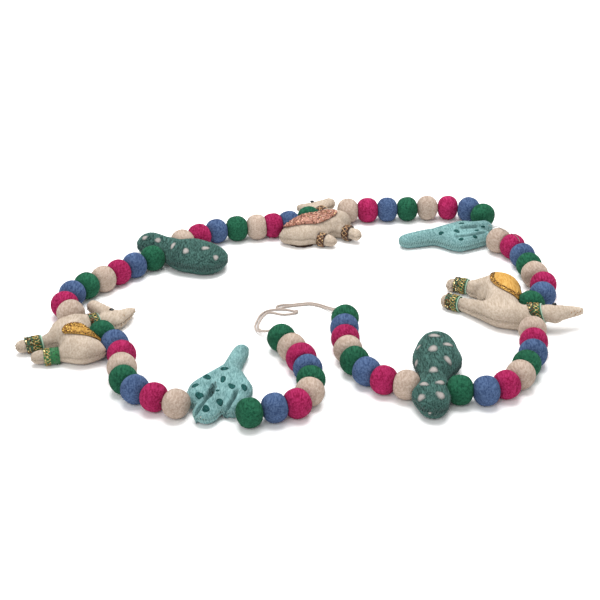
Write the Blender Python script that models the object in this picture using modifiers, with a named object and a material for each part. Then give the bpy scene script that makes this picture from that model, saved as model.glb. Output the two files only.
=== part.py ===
"""Felt llama garland: 65 felt balls, three llamas, two saguaros and two paddle cacti on one cord.

The garland lies on a table in a loose ring. X runs to the right, Y away from the viewer and Z up.
The tables below give sizes and places in millimetres, and the model is in metres.
"""

import math

import bmesh
import bpy
import numpy as np
from mathutils import Matrix, Vector
from mathutils.bvhtree import BVHTree

MM = 0.001
GAP = 0.3

# Felt balls: each is pressed flat against its neighbours, so its pitch is less than its diameter
BALL_RADIUS = 12.5
BALL_HALF_LENGTH = 10.9
BALL_ROUNDNESS = 2.3
BALL_STEPS = 12
BALL_RINGS = (-1.0, -0.62, 0.0, 0.62, 1.0)
BALL_CONTACT = 4.0

# Stuffed felt: size of the grid that fuses the limbs, passes that soften it, share of faces kept
FELT_GRID = 2.6
FELT_SOFTENING = 4
FELT_FACES_KEPT = 0.125

# Sequin ribbons: sides of the ring, and how far beyond it felt is cut away
RIBBON_STEPS = 12
SEAT_DEPTH = 1.5

# Blankets lie this far off the felt, and are this thick
BLANKET_LIFT = 0.4
BLANKET_THICKNESS = 1.3
BLANKET_STEPS = 28

# Cord: its own diameter, and the distance between the points along it
CORD_DIAMETER = 2.0
CORD_POINT_EVERY = 4.0

# The middle of the garland's outline, in the tables' own millimetres
OUTLINE_MIDDLE = (3.0, 6.6)

COLOURS = {
    "felt_white": (0.72, 0.60, 0.47),
    "felt_pink": (0.54, 0.02, 0.14),
    "felt_blue": (0.08, 0.15, 0.42),
    "felt_green": (0.01, 0.17, 0.08),
    "felt_teal": (0.27, 0.51, 0.50),
    "felt_dark_teal": (0.05, 0.19, 0.18),
    "blanket_mustard": (0.83, 0.48, 0.07),
    "blanket_coral": (0.70, 0.33, 0.22),
    "ribbon_gold_green": (0.10, 0.13, 0.03),
    "ribbon_green": (0.01, 0.30, 0.08),
    "ribbon_brown_gold": (0.16, 0.08, 0.03),
    "bead_black": (0.01, 0.01, 0.01),
    "cord_cotton": (0.58, 0.50, 0.42),
}

# Runs of balls between the figures. The string passes through the listed balls:
# (ball's number in its run, x, y)
RUNS = {
    "a": (
        9,
        [
            (1, -16, -71),
            (3, 1, -104),
            (5, 9, -138.5),
            (6, 8, -156.5),
            (7, -2.4, -173.6),
            (8, -20.3, -180),
            (9, -40, -187),
        ],
    ),
    "b": (
        8,
        [(1, -99, -174), (3, -134, -153), (4, -145, -138), (6, -151, -99), (7, -159, -81), (8, -172, -65)],
    ),
    "c": (8, [(1, -204, -29), (2, -212, -13), (3, -208, 8), (5, -183, 36), (7, -157, 64), (8, -141, 78)]),
    "d": (8, [(1, -115, 112), (3, -83, 137), (5, -43, 146), (7, -11, 155), (8, 9, 165)]),
    "e": (8, [(1, 49, 184), (4, 110, 188), (6, 152, 191), (7, 173, 187), (8, 186, 172)]),
    "f": (
        8,
        [
            (1, 195, 116),
            (2, 207, 103),
            (3, 214, 83),
            (5, 220, 45),
            (6, 225, 25),
            (7, 221, 5),
            (8, 208, -12),
        ],
    ),
    "g": (
        8,
        [
            (1, 203, -57.5),
            (3, 197.4, -97),
            (4, 189.6, -114.5),
            (5, 182, -130.7),
            (6, 168.6, -145.8),
            (7, 151, -155),
            (8, 130, -154),
        ],
    ),
    "h": (8, [(1, 87, -146), (2, 69, -139), (4, 46, -109), (6, 39, -72), (8, 40, -37)]),
}
BALL_COLOURS = ("felt_green", "felt_white", "felt_pink", "felt_blue")

# The llamas are cut from one pattern. Each row: radius seen from above, half thickness
LLAMA_PATTERN = {
    "tail": (6.0, 7.0),
    "rump": (17.0, 11.8),
    "belly": (17.5, 12.2),
    "chest": (17.0, 11.8),
    "shoulder": (12.0, 11.0),
    "collar": (7.8, 7.8),
    "head": (8.9, 7.6),
    "snout": (6.6, 6.4),
    "ear": (4.4, 4.4),
    "front_hip": (9.0, 8.5),
    "front_ankle": (6.4, 6.4),
    "front_foot": (6.2, 6.2),
    "hind_hip": (9.0, 8.5),
    "hind_ankle": (6.4, 6.4),
    "hind_foot": (6.2, 6.2),
}
LLAMA_LIMBS = (
    ("tail", "rump"),
    ("rump", "belly"),
    ("belly", "chest"),
    ("chest", "shoulder"),
    ("shoulder", "collar"),
    ("collar", "head"),
    ("head", "snout"),
    ("head", "ear"),
    ("chest", "front_hip"),
    ("front_hip", "front_ankle"),
    ("front_ankle", "front_foot"),
    ("rump", "hind_hip"),
    ("hind_hip", "hind_ankle"),
    ("hind_ankle", "hind_foot"),
)
# How each llama lies. Each row: x, y, height of the limb's middle
LLAMAS = {
    "llama_1": {
        "tail": (-169, -92, 11),
        "rump": (-186, -88, 10.8),
        "belly": (-193, -72, 11.2),
        "chest": (-202, -59, 11),
        "shoulder": (-197, -50, 11),
        "collar": (-183, -41, 9),
        "head": (-163, -33, 7.6),
        "snout": (-187, -8, 7.8),
        "ear": (-150.5, -20.5, 10),
        "front_hip": (-212, -68, 9),
        "front_ankle": (-221.5, -71.4, 7.4),
        "front_foot": (-240.8, -77.3, 7.0),
        "hind_hip": (-196, -92, 9),
        "hind_ankle": (-203.5, -92.1, 7.4),
        "hind_foot": (-224, -96.5, 7.0),
    },
    "llama_2": {
        "tail": (-16, 131, 8.5),
        "rump": (0, 134.5, 10.8),
        "belly": (9, 144, 11.2),
        "chest": (27, 152, 11),
        "shoulder": (40, 161, 11),
        "collar": (23, 180, 9),
        "head": (14, 192, 9),
        "snout": (32, 206.5, 9.5),
        "ear": (-1, 196, 9.5),
        "front_hip": (36, 149, 9),
        "front_ankle": (43.9, 143.2, 7.6),
        "front_foot": (55.4, 135.8, 9.0),
        "hind_hip": (10, 132, 8.7),
        "hind_ankle": (16.5, 130.4, 7.0),
        "hind_foot": (31, 123.6, 6.6),
    },
    "llama_3": {
        "tail": (178, 38, 8),
        "rump": (185, 21, 10.8),
        "belly": (184.5, -2, 11.2),
        "chest": (181, -26, 11),
        "shoulder": (198, -36, 11.5),
        "collar": (208, -34, 16),
        "head": (224, -37, 16.5),
        "snout": (226, -41, 15),
        "ear": (249.5, -31, 15.5),
        "front_hip": (164, -19, 9.5),
        "front_ankle": (146.3, -3.9, 7.4),
        "front_foot": (133.3, 4.1, 7.0),
        "hind_hip": (167, 25, 9),
        "hind_ankle": (156.7, 29.4, 7.4),
        "hind_foot": (141.5, 36.1, 7.0),
    },
}

# Ribbons sewn round legs and necks: llama, limb's start, limb's end, the ribbon's middle as a share
# of the way, its length, inner radius, outer radius, material
RIBBONS = {
    "llama_1_front_cuff": ("llama_1", "front_ankle", "front_foot", 0.41, 15, 6.0, 7.0, "ribbon_gold_green"),
    "llama_1_hind_cuff": ("llama_1", "hind_ankle", "hind_foot", 0.385, 13.3, 6.0, 7.0, "ribbon_green"),
    "llama_1_collar": ("llama_1", "collar", "head", 0.1, 11, 7.4, 8.4, "ribbon_gold_green"),
    "llama_2_front_cuff": ("llama_2", "front_ankle", "front_foot", 0.35, 7, 6.2, 7.3, "ribbon_brown_gold"),
    "llama_2_hind_cuff": ("llama_2", "hind_ankle", "hind_foot", 0.35, 6.5, 5.4, 6.4, "ribbon_brown_gold"),
    "llama_2_collar": ("llama_2", "collar", "head", 0.1, 9, 7.4, 8.4, "ribbon_brown_gold"),
    "llama_3_front_cuff": ("llama_3", "front_ankle", "front_foot", 0.46, 13, 6.0, 7.0, "ribbon_gold_green"),
    "llama_3_hind_cuff": ("llama_3", "hind_ankle", "hind_foot", 0.42, 13, 6.0, 7.0, "ribbon_gold_green"),
    "llama_3_collar": ("llama_3", "collar", "head", 0.1, 12.5, 7.4, 8.4, "ribbon_gold_green"),
}

# Blankets: an egg-shaped piece of felt folded over the llama's back. Each row: llama, x, y and
# heading in degrees of its middle, half length, half width, taper, lowest height, material
BLANKETS = {
    "llama_1_blanket": ("llama_1", -187.5, -78, -17, 18, 7.8, 0.45, 8, "blanket_mustard"),
    "llama_2_blanket": ("llama_2", 11, 150, 22, 28, 15, 0.0, 8, "blanket_coral"),
    "llama_3_blanket": ("llama_3", 193, 11, 103, 27, 16, 0.0, 8, "blanket_mustard"),
}

# The edge of the second llama's blanket that shows under its belly: middle of the arc, its radius,
# first and last angle in degrees, width, depth and number of scallops
HEM = {
    "llama": "llama_2",
    "x": 2,
    "y": 139,
    "radius": 14,
    "first": -150,
    "last": -40,
    "width": 2.6,
    "scallop": 0.8,
    "count": 4,
}

# Bead eyes: llama, x, y
EYE_RADIUS = 1.4
EYE_HEIGHT = 1.2
EYE_STEPS = 10
EYES = {
    "llama_1_eye": ("llama_1", -167.7, -28.2),
    "llama_2_eye": ("llama_2", 12.4, 196),
    "llama_3_eye": ("llama_3", 225, -32.5),
}

# Cacti: x, y, height of the middle, radius seen from above, half thickness
SAGUARO_LIMBS = (
    ("base", "waist"),
    ("waist", "middle"),
    ("middle", "top"),
    ("waist", "left_elbow"),
    ("left_elbow", "left_tip"),
    ("waist", "right_elbow"),
    ("right_elbow", "right_tip"),
)
PADDLE_LIMBS = (("base", "pad"), ("pad", "neck"), ("neck", "bud"), ("bud", "bud_top"))
CACTI = {
    "saguaro_1": (
        SAGUARO_LIMBS,
        {
            "base": (-50, -84, 6.8, 7.2, 7.0),
            "waist": (-58, -117, 7.5, 8.5, 8.0),
            "middle": (-62, -145, 7.8, 9.3, 8.3),
            "top": (-75, -181, 7.8, 11.5, 8.3),
            "left_elbow": (-83.5, -145, 7.2, 8.5, 7.7),
            "left_tip": (-86, -161, 7.0, 8.3, 7.6),
            "right_elbow": (-45, -148, 7.2, 8.3, 7.7),
            "right_tip": (-53, -175.5, 7.0, 6.8, 7.6),
        },
    ),
    "saguaro_2": (
        SAGUARO_LIMBS,
        {
            "base": (105, 126, 6.6, 9.0, 7.0),
            "waist": (135, 133, 7.6, 10.5, 8.0),
            "middle": (155, 139, 7.8, 9.0, 8.3),
            "top": (186, 152.5, 7.8, 8.5, 8.3),
            "left_elbow": (157, 119, 7.2, 12.0, 7.7),
            "left_tip": (182.5, 130, 7.6, 9.4, 7.8),
            "right_elbow": (162, 153, 7.2, 7.5, 7.7),
            "right_tip": (170, 155, 7.0, 6.0, 7.4),
        },
    ),
    "paddle_cactus_1": (
        PADDLE_LIMBS,
        {
            "base": (-90, 79, 10.8, 22.0, 11.2),
            "pad": (-106, 87.5, 10.8, 26.0, 11.2),
            "neck": (-131, 103, 9.8, 10.5, 10.0),
            "bud": (-144, 109, 10.3, 13.5, 10.6),
            "bud_top": (-147, 111, 10.3, 13.5, 10.6),
        },
    ),
    "paddle_cactus_2": (
        PADDLE_LIMBS,
        {
            "base": (117, -83, 10.8, 16.0, 11.2),
            "pad": (115.5, -106, 10.8, 22.0, 11.2),
            "neck": (110, -135, 9.8, 11.0, 10.0),
            "bud": (105.8, -161, 10.6, 16.5, 11.0),
            "bud_top": (106.5, -173, 10.6, 12.5, 11.0),
        },
    ),
}

# Hanging loops of doubled cord. Each starts where the string leaves its end ball: run, ball that the
# string leaves, the ball before it, then rows of x, y, height, half the opening between the strands
LOOPS = {
    "cord_loop_1": (
        "a",
        0,
        1,
        [
            (-26, -55, 9.5, 1.3),
            (-32, -48, 5.2, 1.3),
            (-37, -41, 2.1, 1.3),
            (-38.8, -33, 1.1, 1.3),
            (-37.4, -23, 1.1, 1.3),
            (-34.4, -13, 1.1, 1.5),
            (-30.0, -6.6, 1.1, 1.6),
            (-23.5, -5.4, 1.1, 3.0),
            (-16.4, -6.6, 1.1, 4.4),
            (-9.5, -7.0, 1.1, 3.4),
            (-6.6, -7.2, 1.1, 2.4),
        ],
    ),
    "cord_loop_2": (
        "h",
        -1,
        -2,
        [
            (37.5, -17, 8.5, 1.3),
            (31.5, -7.5, 4.2, 1.3),
            (25, 0, 1.6, 1.3),
            (18, 5.5, 1.1, 1.3),
            (10, 8.6, 1.1, 1.3),
            (1, 7.6, 1.1, 1.3),
            (-8, 5.6, 1.1, 1.3),
            (-15, 4.4, 1.1, 1.7),
            (-19.8, 2.0, 1.1, 1.9),
        ],
    ),
}
CORD_START_OPENING = 1.3


def clear_scene():
    """Remove every object that the scene starts with."""
    for obj in list(bpy.data.objects):
        bpy.data.objects.remove(obj, do_unlink=True)


def felt_material(name):
    """Matt material of one colour; beads alone are glossy."""
    material = bpy.data.materials.get(name)
    if material:
        return material
    material = bpy.data.materials.new(name)
    material.use_nodes = True
    shader = material.node_tree.nodes["Principled BSDF"]
    shader.inputs["Base Color"].default_value = (*COLOURS[name], 1.0)
    shader.inputs["Roughness"].default_value = 0.2 if name.startswith("bead") else 0.95
    shader.inputs["Metallic"].default_value = 0.0
    return material


def garland_collection():
    """The collection that holds every piece."""
    collection = bpy.data.collections.new("felt_llama_garland")
    bpy.context.scene.collection.children.link(collection)
    return collection


def add_object(name, mesh, materials, collection):
    """Link a mesh as one piece, with its materials and soft shading."""
    for material in materials:
        mesh.materials.append(felt_material(material))
    mesh.shade_smooth()
    obj = bpy.data.objects.new(name, mesh)
    collection.objects.link(obj)
    return obj


def to_world(shape):
    """Move a shape from the tables' millimetres to metres about the outline's middle."""
    middle = Vector((*OUTLINE_MIDDLE, 0.0))
    bmesh.ops.translate(shape, verts=shape.verts, vec=-middle)
    bmesh.ops.scale(shape, verts=shape.verts, vec=(MM, MM, MM))


def finished_mesh(name, shape):
    """Turn a bmesh in millimetres into a mesh in metres, with its faces outward."""
    to_world(shape)
    bmesh.ops.recalc_face_normals(shape, faces=shape.faces)
    mesh = bpy.data.meshes.new(name)
    shape.to_mesh(mesh)
    shape.free()
    return mesh


def evaluated_mesh(obj):
    """The mesh of an object with its modifiers applied; the object is removed."""
    graph = bpy.context.evaluated_depsgraph_get()
    mesh = bpy.data.meshes.new_from_object(obj.evaluated_get(graph))
    bpy.data.objects.remove(obj, do_unlink=True)
    return mesh


def hermite(knots, at):
    """Smooth curve through (parameter, x, y, ...) rows, read at the parameters in at."""
    knots = np.array(knots, float)
    t, values = knots[:, 0], knots[:, 1:]
    steps = np.diff(t)[:, None]
    chords = np.diff(values, axis=0) / steps
    slopes = np.vstack([chords[:1], chords[1:], chords[-1:]])
    slopes[1:-1] = (chords[:-1] * steps[1:] + chords[1:] * steps[:-1]) / (steps[:-1] + steps[1:])
    at = np.asarray(at, float)
    index = np.clip(np.searchsorted(t, at, side="right") - 1, 0, len(t) - 2)
    span = steps[index]
    u = ((at - t[index])[:, None]) / span
    return (
        (2 * u**3 - 3 * u**2 + 1) * values[index]
        + (u**3 - 2 * u**2 + u) * span * slopes[index]
        + (3 * u**2 - 2 * u**3) * values[index + 1]
        + (u**3 - u**2) * span * slopes[index + 1]
    )


def smooth_route(points, spacing):
    """Points every spacing or so along a smooth curve through the given points."""
    points = np.array(points, float)
    reach = np.concatenate([[0.0], np.cumsum(np.linalg.norm(np.diff(points, axis=0), axis=1))])
    count = max(2, round(reach[-1] / spacing) + 1)
    return hermite(np.column_stack([reach, points]), np.linspace(0.0, reach[-1], count))


def ball_radius_at(x):
    """Radius of a ball at x along the string from its middle."""
    share = min(1.0, abs(x) / BALL_HALF_LENGTH)
    return BALL_RADIUS * (1 - share**BALL_ROUNDNESS) ** (1 / BALL_ROUNDNESS)


def turned_shape(profile, steps):
    """Closed shape turned round X from (x, radius) rows, with a facet straight below."""
    shape = bmesh.new()
    start = math.pi / steps
    verts = [shape.verts.new((x, r * math.sin(start), -r * math.cos(start))) for x, r in profile]
    edges = [shape.edges.new(pair) for pair in zip(verts, verts[1:])]
    bmesh.ops.spin(
        shape,
        geom=verts + edges,
        cent=(0, 0, 0),
        axis=(1, 0, 0),
        angle=2 * math.pi,
        steps=steps,
        use_merge=True,
    )
    bmesh.ops.remove_doubles(shape, verts=shape.verts, dist=1e-4)
    return shape


def cut_flat(shape, point, outward):
    """Cut away what lies beyond a plane and close the cut."""
    geometry = shape.verts[:] + shape.edges[:] + shape.faces[:]
    bmesh.ops.bisect_plane(
        shape, geom=geometry, dist=1e-4, plane_co=point, plane_no=outward, clear_outer=True
    )
    rim = [edge for edge in shape.edges if edge.is_boundary]
    bmesh.ops.holes_fill(shape, edges=rim)


def run_centres(run):
    """Middles of the balls of one run, on the table."""
    count, knots = RUNS[run]
    height = BALL_RADIUS * math.cos(math.pi / BALL_STEPS)
    plan = hermite(knots, np.arange(1, count + 1))
    return [Vector((x, y, height)) for x, y in plan]


def ball_groups():
    """Balls in the order they are strung: the first alone, then pairs of neighbours. Each group is
    the middles of its balls, the middles just before and after them, and its colours."""
    groups = []
    number = 0
    for run in RUNS:
        centres = run_centres(run)
        index = 0
        while index < len(centres):
            size = 1 if number == 0 else 2
            before = centres[index - 1] if index else None
            after = centres[index + size] if index + size < len(centres) else None
            colours = [BALL_COLOURS[(number + k) % len(BALL_COLOURS)] for k in range(size)]
            groups.append((centres[index : index + size], before, after, colours))
            number += size
            index += size
    return groups


def ball_shape(centres, before, after, grow):
    """One or two balls pressed flat against the balls before and after, grown by a distance."""
    along = centres[-1] - centres[0] if len(centres) > 1 else after - centres[0]
    length = (centres[-1] - centres[0]).length
    profile = []
    for share in BALL_RINGS:
        radius = ball_radius_at(share * BALL_HALF_LENGTH)
        profile.append((share * (BALL_HALF_LENGTH + grow), radius + grow if radius else 0.0))
    if len(centres) > 1:
        groove = (length / 2, max(ball_radius_at(length / 2), BALL_CONTACT) + grow)
        profile = profile[:-1] + [groove] + [(x + length, r) for x, r in profile[1:]]
    shape = turned_shape(profile, BALL_STEPS)
    for face in shape.faces:
        second = face.calc_center_median().x > length / 2
        face.material_index = int(second and len(centres) > 1)
    place = Matrix.Translation(centres[0]) @ Matrix.Rotation(math.atan2(along.y, along.x), 4, "Z")
    bmesh.ops.transform(shape, matrix=place, verts=shape.verts)
    for own, other in ((centres[0], before), (centres[-1], after)):
        if other:
            outward = (other - own).normalized()
            cut_flat(shape, (own + other) / 2 - outward * GAP / 2, outward)
    return shape


def add_balls(collection):
    """Every group of balls as one solid."""
    for number, (centres, before, after, colours) in enumerate(ball_groups()):
        name = "ball_end" if number == 0 else f"ball_pair_{number:02d}"
        mesh = finished_mesh(name, ball_shape(centres, before, after, 0.0))
        add_object(name, mesh, colours, collection)


def ball_rooms(form):
    """The room that balls touching a felt form take up, so that it can be cut out of the felt."""
    rooms = []
    for centres, before, after, colours in ball_groups():
        reach = BALL_RADIUS + 2 * GAP
        if any((vert.co - centre).length < reach for vert in form.verts for centre in centres):
            rooms.append(("DIFFERENCE", ball_shape(centres, before, after, GAP)))
    return rooms


def limb_hull(shape, ends):
    """Add one tapered limb, the hull of two flattened balls, to a shape."""
    limb = bmesh.new()
    for x, y, z, radius, half_thickness in ends:
        size = Matrix.Diagonal((radius, radius, half_thickness, 1.0))
        place = Matrix.Translation((x, y, z)) @ size
        bmesh.ops.create_uvsphere(limb, u_segments=20, v_segments=12, radius=1.0, matrix=place)
    hull = bmesh.ops.convex_hull(limb, input=limb.verts)
    inner = hull["geom_interior"] + hull["geom_unused"]
    loose = {item for item in inner if isinstance(item, bmesh.types.BMVert)}
    bmesh.ops.delete(limb, geom=list(loose), context="VERTS")
    mesh = bpy.data.meshes.new("limb")
    limb.to_mesh(mesh)
    limb.free()
    shape.from_mesh(mesh)
    bpy.data.meshes.remove(mesh)


def egg_outline(row):
    """Corners of a blanket's outline seen from above, its half length, half width and turn."""
    llama, x, y, heading, half_length, half_width, taper, lowest, material = row
    turn = math.radians(heading)
    corners = []
    for step in range(BLANKET_STEPS):
        angle = 2 * math.pi * step / BLANKET_STEPS
        along = half_length * math.cos(angle)
        across = half_width * math.sin(angle) * (1 - taper * math.cos(angle))
        corners.append((
            x + along * math.cos(turn) - across * math.sin(turn),
            y + along * math.sin(turn) + across * math.cos(turn),
        ))
    return corners


def fused_form(name, points, limbs, collection):
    """Mesh, in millimetres, of limbs fused into one soft form that rests flat on the table."""
    shape = bmesh.new()
    for first, second in limbs:
        limb_hull(shape, (points[first], points[second]))
    mesh = bpy.data.meshes.new(name)
    shape.to_mesh(mesh)
    shape.free()
    obj = bpy.data.objects.new(name, mesh)
    collection.objects.link(obj)
    fused = obj.modifiers.new("fused", "REMESH")
    fused.mode = "VOXEL"
    fused.voxel_size = FELT_GRID
    softened = obj.modifiers.new("softened", "SMOOTH")
    softened.iterations = FELT_SOFTENING
    lightened = obj.modifiers.new("lightened", "DECIMATE")
    lightened.ratio = FELT_FACES_KEPT
    form = bmesh.new()
    form.from_mesh(evaluated_mesh(obj))
    for vert in form.verts:
        vert.co.z = max(vert.co.z, 0.0)
    bmesh.ops.triangulate(form, faces=form.faces)
    form.normal_update()
    return form


def largest_body(shape):
    """Remove the crumbs that a cut can leave beside the largest connected body."""
    left = set(shape.verts)
    bodies = []
    while left:
        body = set()
        reached = [left.pop()]
        while reached:
            vert = reached.pop()
            body.add(vert)
            ends = {edge.other_vert(vert) for edge in vert.link_edges} & left
            left -= ends
            reached += ends
        bodies.append(body)
    bodies.sort(key=len)
    crumbs = [vert for body in bodies[:-1] for vert in body]
    bmesh.ops.delete(shape, geom=crumbs, context="VERTS")


def combined(base, others, collection):
    """The base shape after each (operation, shape) of others is carried out on it, in turn."""
    helpers = []
    for shape in [base] + [shape for operation, shape in others]:
        bmesh.ops.recalc_face_normals(shape, faces=shape.faces)
        mesh = bpy.data.meshes.new("helper")
        shape.to_mesh(mesh)
        helper = bpy.data.objects.new("helper", mesh)
        collection.objects.link(helper)
        helpers.append(helper)
    for (operation, shape), helper in zip(others, helpers[1:]):
        step = helpers[0].modifiers.new("step", "BOOLEAN")
        step.operation = operation
        step.solver = "EXACT"
        step.object = helper
    mesh = evaluated_mesh(helpers[0])
    for helper in helpers[1:]:
        bpy.data.objects.remove(helper, do_unlink=True)
    result = bmesh.new()
    result.from_mesh(mesh)
    bmesh.ops.triangulate(result, faces=result.faces)
    bmesh.ops.remove_doubles(result, verts=result.verts, dist=1e-3)
    bmesh.ops.dissolve_degenerate(result, edges=result.edges, dist=1e-3)
    largest_body(result)
    return result


def llama_points(llama):
    """Pattern and lie of one llama joined: x, y, height, radius, half thickness of each point."""
    return {part: (*LLAMAS[llama][part], *size) for part, size in LLAMA_PATTERN.items()}


def ring(row, inner, outer, length):
    """A ring round the limb that a ribbon's row names."""
    llama, start, end, share, *sizes = row
    first = Vector(LLAMAS[llama][start])
    second = Vector(LLAMAS[llama][end])
    along = (second - first).normalized()
    profile = [(-length / 2, inner), (length / 2, inner), (length / 2, outer), (-length / 2, outer)]
    shape = turned_shape(profile + profile[:1], RIBBON_STEPS)
    turn = along.to_track_quat("X", "Z").to_matrix().to_4x4()
    place = Matrix.Translation(first.lerp(second, share)) @ turn
    bmesh.ops.transform(shape, matrix=place, verts=shape.verts)
    return shape


def add_ribbon(name, row, collection):
    """A band of sequin ribbon round a leg or a neck."""
    length, inner, outer, material = row[4:]
    mesh = finished_mesh(name, ring(row, inner, outer, length))
    return add_object(name, mesh, [material], collection)


def ribbon_seats(llama):
    """The rings that are cut out of a llama's felt to make room for its ribbons."""
    seats = []
    for row in RIBBONS.values():
        length, inner, outer, material = row[4:]
        if row[0] == llama:
            seat = ring(row, inner - GAP, outer + SEAT_DEPTH, length + 2 * GAP)
            seats.append(("DIFFERENCE", seat))
    return seats


def grown(form, distance):
    """A copy of a shape with its surface moved outward."""
    copy = form.copy()
    copy.normal_update()
    moved = [vert.co + vert.normal * distance for vert in copy.verts]
    for vert, co in zip(copy.verts, moved):
        vert.co = co
    return copy


def prism(corners, low, high):
    """Upright solid with the given outline."""
    shape = bmesh.new()
    verts = [shape.verts.new((x, y, low)) for x, y in corners]
    base = shape.faces.new(verts)
    top = bmesh.ops.extrude_face_region(shape, geom=[base])
    raised = [item for item in top["geom"] if isinstance(item, bmesh.types.BMVert)]
    bmesh.ops.translate(shape, verts=raised, vec=(0, 0, high - low))
    return shape


def add_blanket(name, row, form, rooms, collection):
    """A sheet of felt that follows the llama's back, cut to its outline and clear of the balls."""
    lowest, material = row[-2:]
    outside = grown(form, BLANKET_LIFT + BLANKET_THICKNESS)
    inside = grown(form, BLANKET_LIFT)
    outline = prism(egg_outline(row), lowest, lowest + 40)
    steps = [("INTERSECT", outside), ("DIFFERENCE", inside)]
    shape = combined(outline, steps + rooms, collection)
    return add_object(name, finished_mesh(name, shape), [material], collection)


def hem_shape(grow):
    """The scalloped edge of a blanket, flat on the table, grown by a distance."""
    first, last = math.radians(HEM["first"]), math.radians(HEM["last"])
    outer, inner = [], []
    for share in np.linspace(0, 1, 4 * HEM["count"] + 1):
        angle = first + (last - first) * share
        bulge = HEM["scallop"] * abs(math.sin(math.pi * HEM["count"] * share))
        direction = Vector((math.cos(angle), math.sin(angle)))
        middle = Vector((HEM["x"], HEM["y"]))
        outer.append(middle + direction * (HEM["radius"] + bulge + grow))
        inner.append(middle + direction * (HEM["radius"] - HEM["width"] - grow))
    return prism(outer + inner[::-1], -grow, BLANKET_THICKNESS + grow)


def add_hem(name, collection):
    """The edge of a blanket that shows below the llama's belly."""
    mesh = finished_mesh(name, hem_shape(0.0))
    return add_object(name, mesh, ["ribbon_brown_gold"], collection)


def add_eye(name, x, y, form, collection):
    """A half-round bead that sits on the llama's head."""
    tree = BVHTree.FromBMesh(form)
    spot, normal, face, distance = tree.ray_cast(Vector((x, y, 60.0)), Vector((0, 0, -1)))
    profile = [(0.0, 0.0)]
    for angle in np.linspace(0.0, math.pi / 2, 4):
        profile.append((EYE_HEIGHT * math.sin(angle), EYE_RADIUS * math.cos(angle)))
    shape = turned_shape(profile, EYE_STEPS)
    turn = normal.to_track_quat("X", "Z").to_matrix().to_4x4()
    place = Matrix.Translation(spot + normal * GAP) @ turn
    bmesh.ops.transform(shape, matrix=place, verts=shape.verts)
    return add_object(name, finished_mesh(name, shape), ["bead_black"], collection)


def add_llama(llama, collection):
    """One llama: its felt body, then its blanket, eye and ribbons."""
    form = fused_form(llama, llama_points(llama), LLAMA_LIMBS, collection)
    rooms = ball_rooms(form)
    if llama == HEM["llama"]:
        rooms.append(("DIFFERENCE", hem_shape(GAP)))
    body = combined(form, ribbon_seats(llama) + rooms, collection)
    add_object(llama, finished_mesh(llama, body), ["felt_white"], collection)
    for name, row in BLANKETS.items():
        if row[0] == llama:
            add_blanket(name, row, form, rooms, collection)
    for name, (owner, x, y) in EYES.items():
        if owner == llama:
            add_eye(name, x, y, form, collection)
    for name, row in RIBBONS.items():
        if row[0] == llama:
            add_ribbon(name, row, collection)


def loop_route(name):
    """Points of a doubled cord: out along one strand, round the end and back along the other."""
    run, end, before, rows = LOOPS[name]
    centres = run_centres(run)
    along = (centres[end] - centres[before]).normalized()
    start = centres[end] + along * (BALL_HALF_LENGTH + GAP)
    rows = np.array([(*start, CORD_START_OPENING), *rows], float)
    middle, opening = rows[:, :3], rows[:, 3:]
    heading = np.gradient(middle, axis=0)
    heading[0] = along
    side = np.cross(heading, (0.0, 0.0, 1.0))
    side /= np.linalg.norm(side, axis=1)[:, None]
    ahead = heading[-1] / np.linalg.norm(heading[-1])
    turn = middle[-1] + ahead * opening[-1]
    return np.vstack([middle + side * opening, turn, (middle - side * opening)[::-1]])


def add_cord_loop(name, collection):
    """A hanging loop: one length of cord, doubled, both ends at the end ball."""
    curve = bpy.data.curves.new(name, "CURVE")
    curve.dimensions = "3D"
    curve.bevel_depth = CORD_DIAMETER / 2 * MM
    curve.bevel_resolution = 2
    curve.use_fill_caps = True
    points = smooth_route(loop_route(name), CORD_POINT_EVERY)
    points = (points - np.array((*OUTLINE_MIDDLE, 0.0))) * MM
    spline = curve.splines.new("POLY")
    spline.points.add(len(points) - 1)
    for point, co in zip(spline.points, points):
        point.co = (*co, 1.0)
    curve.materials.append(felt_material("cord_cotton"))
    obj = bpy.data.objects.new(name, curve)
    collection.objects.link(obj)
    return obj


def add_cactus(name, collection):
    """One stuffed felt cactus."""
    limbs, points = CACTI[name]
    form = fused_form(name, points, limbs, collection)
    body = combined(form, ball_rooms(form), collection)
    material = "felt_teal" if name.startswith("saguaro") else "felt_dark_teal"
    return add_object(name, finished_mesh(name, body), [material], collection)


def main():
    """Build the garland from the table up."""
    clear_scene()
    collection = garland_collection()
    add_balls(collection)
    for name in CACTI:
        add_cactus(name, collection)
    for llama in LLAMAS:
        add_llama(llama, collection)
    add_hem("llama_2_blanket_hem", collection)
    for name in LOOPS:
        add_cord_loop(name, collection)


main()
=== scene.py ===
# %% [markdown]
# This lesson dresses a garland of felt balls, stuffed llamas and stuffed cacti that lies on a table.
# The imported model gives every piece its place. It comes in first and is never moved, and each
# soft piece is then made again with the detail that wool, ribbon and sequins have.

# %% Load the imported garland
import math
from collections import namedtuple

import bmesh
import bpy
import numpy as np
from mathutils import Matrix, Vector
from mathutils.bvhtree import BVHTree


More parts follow.
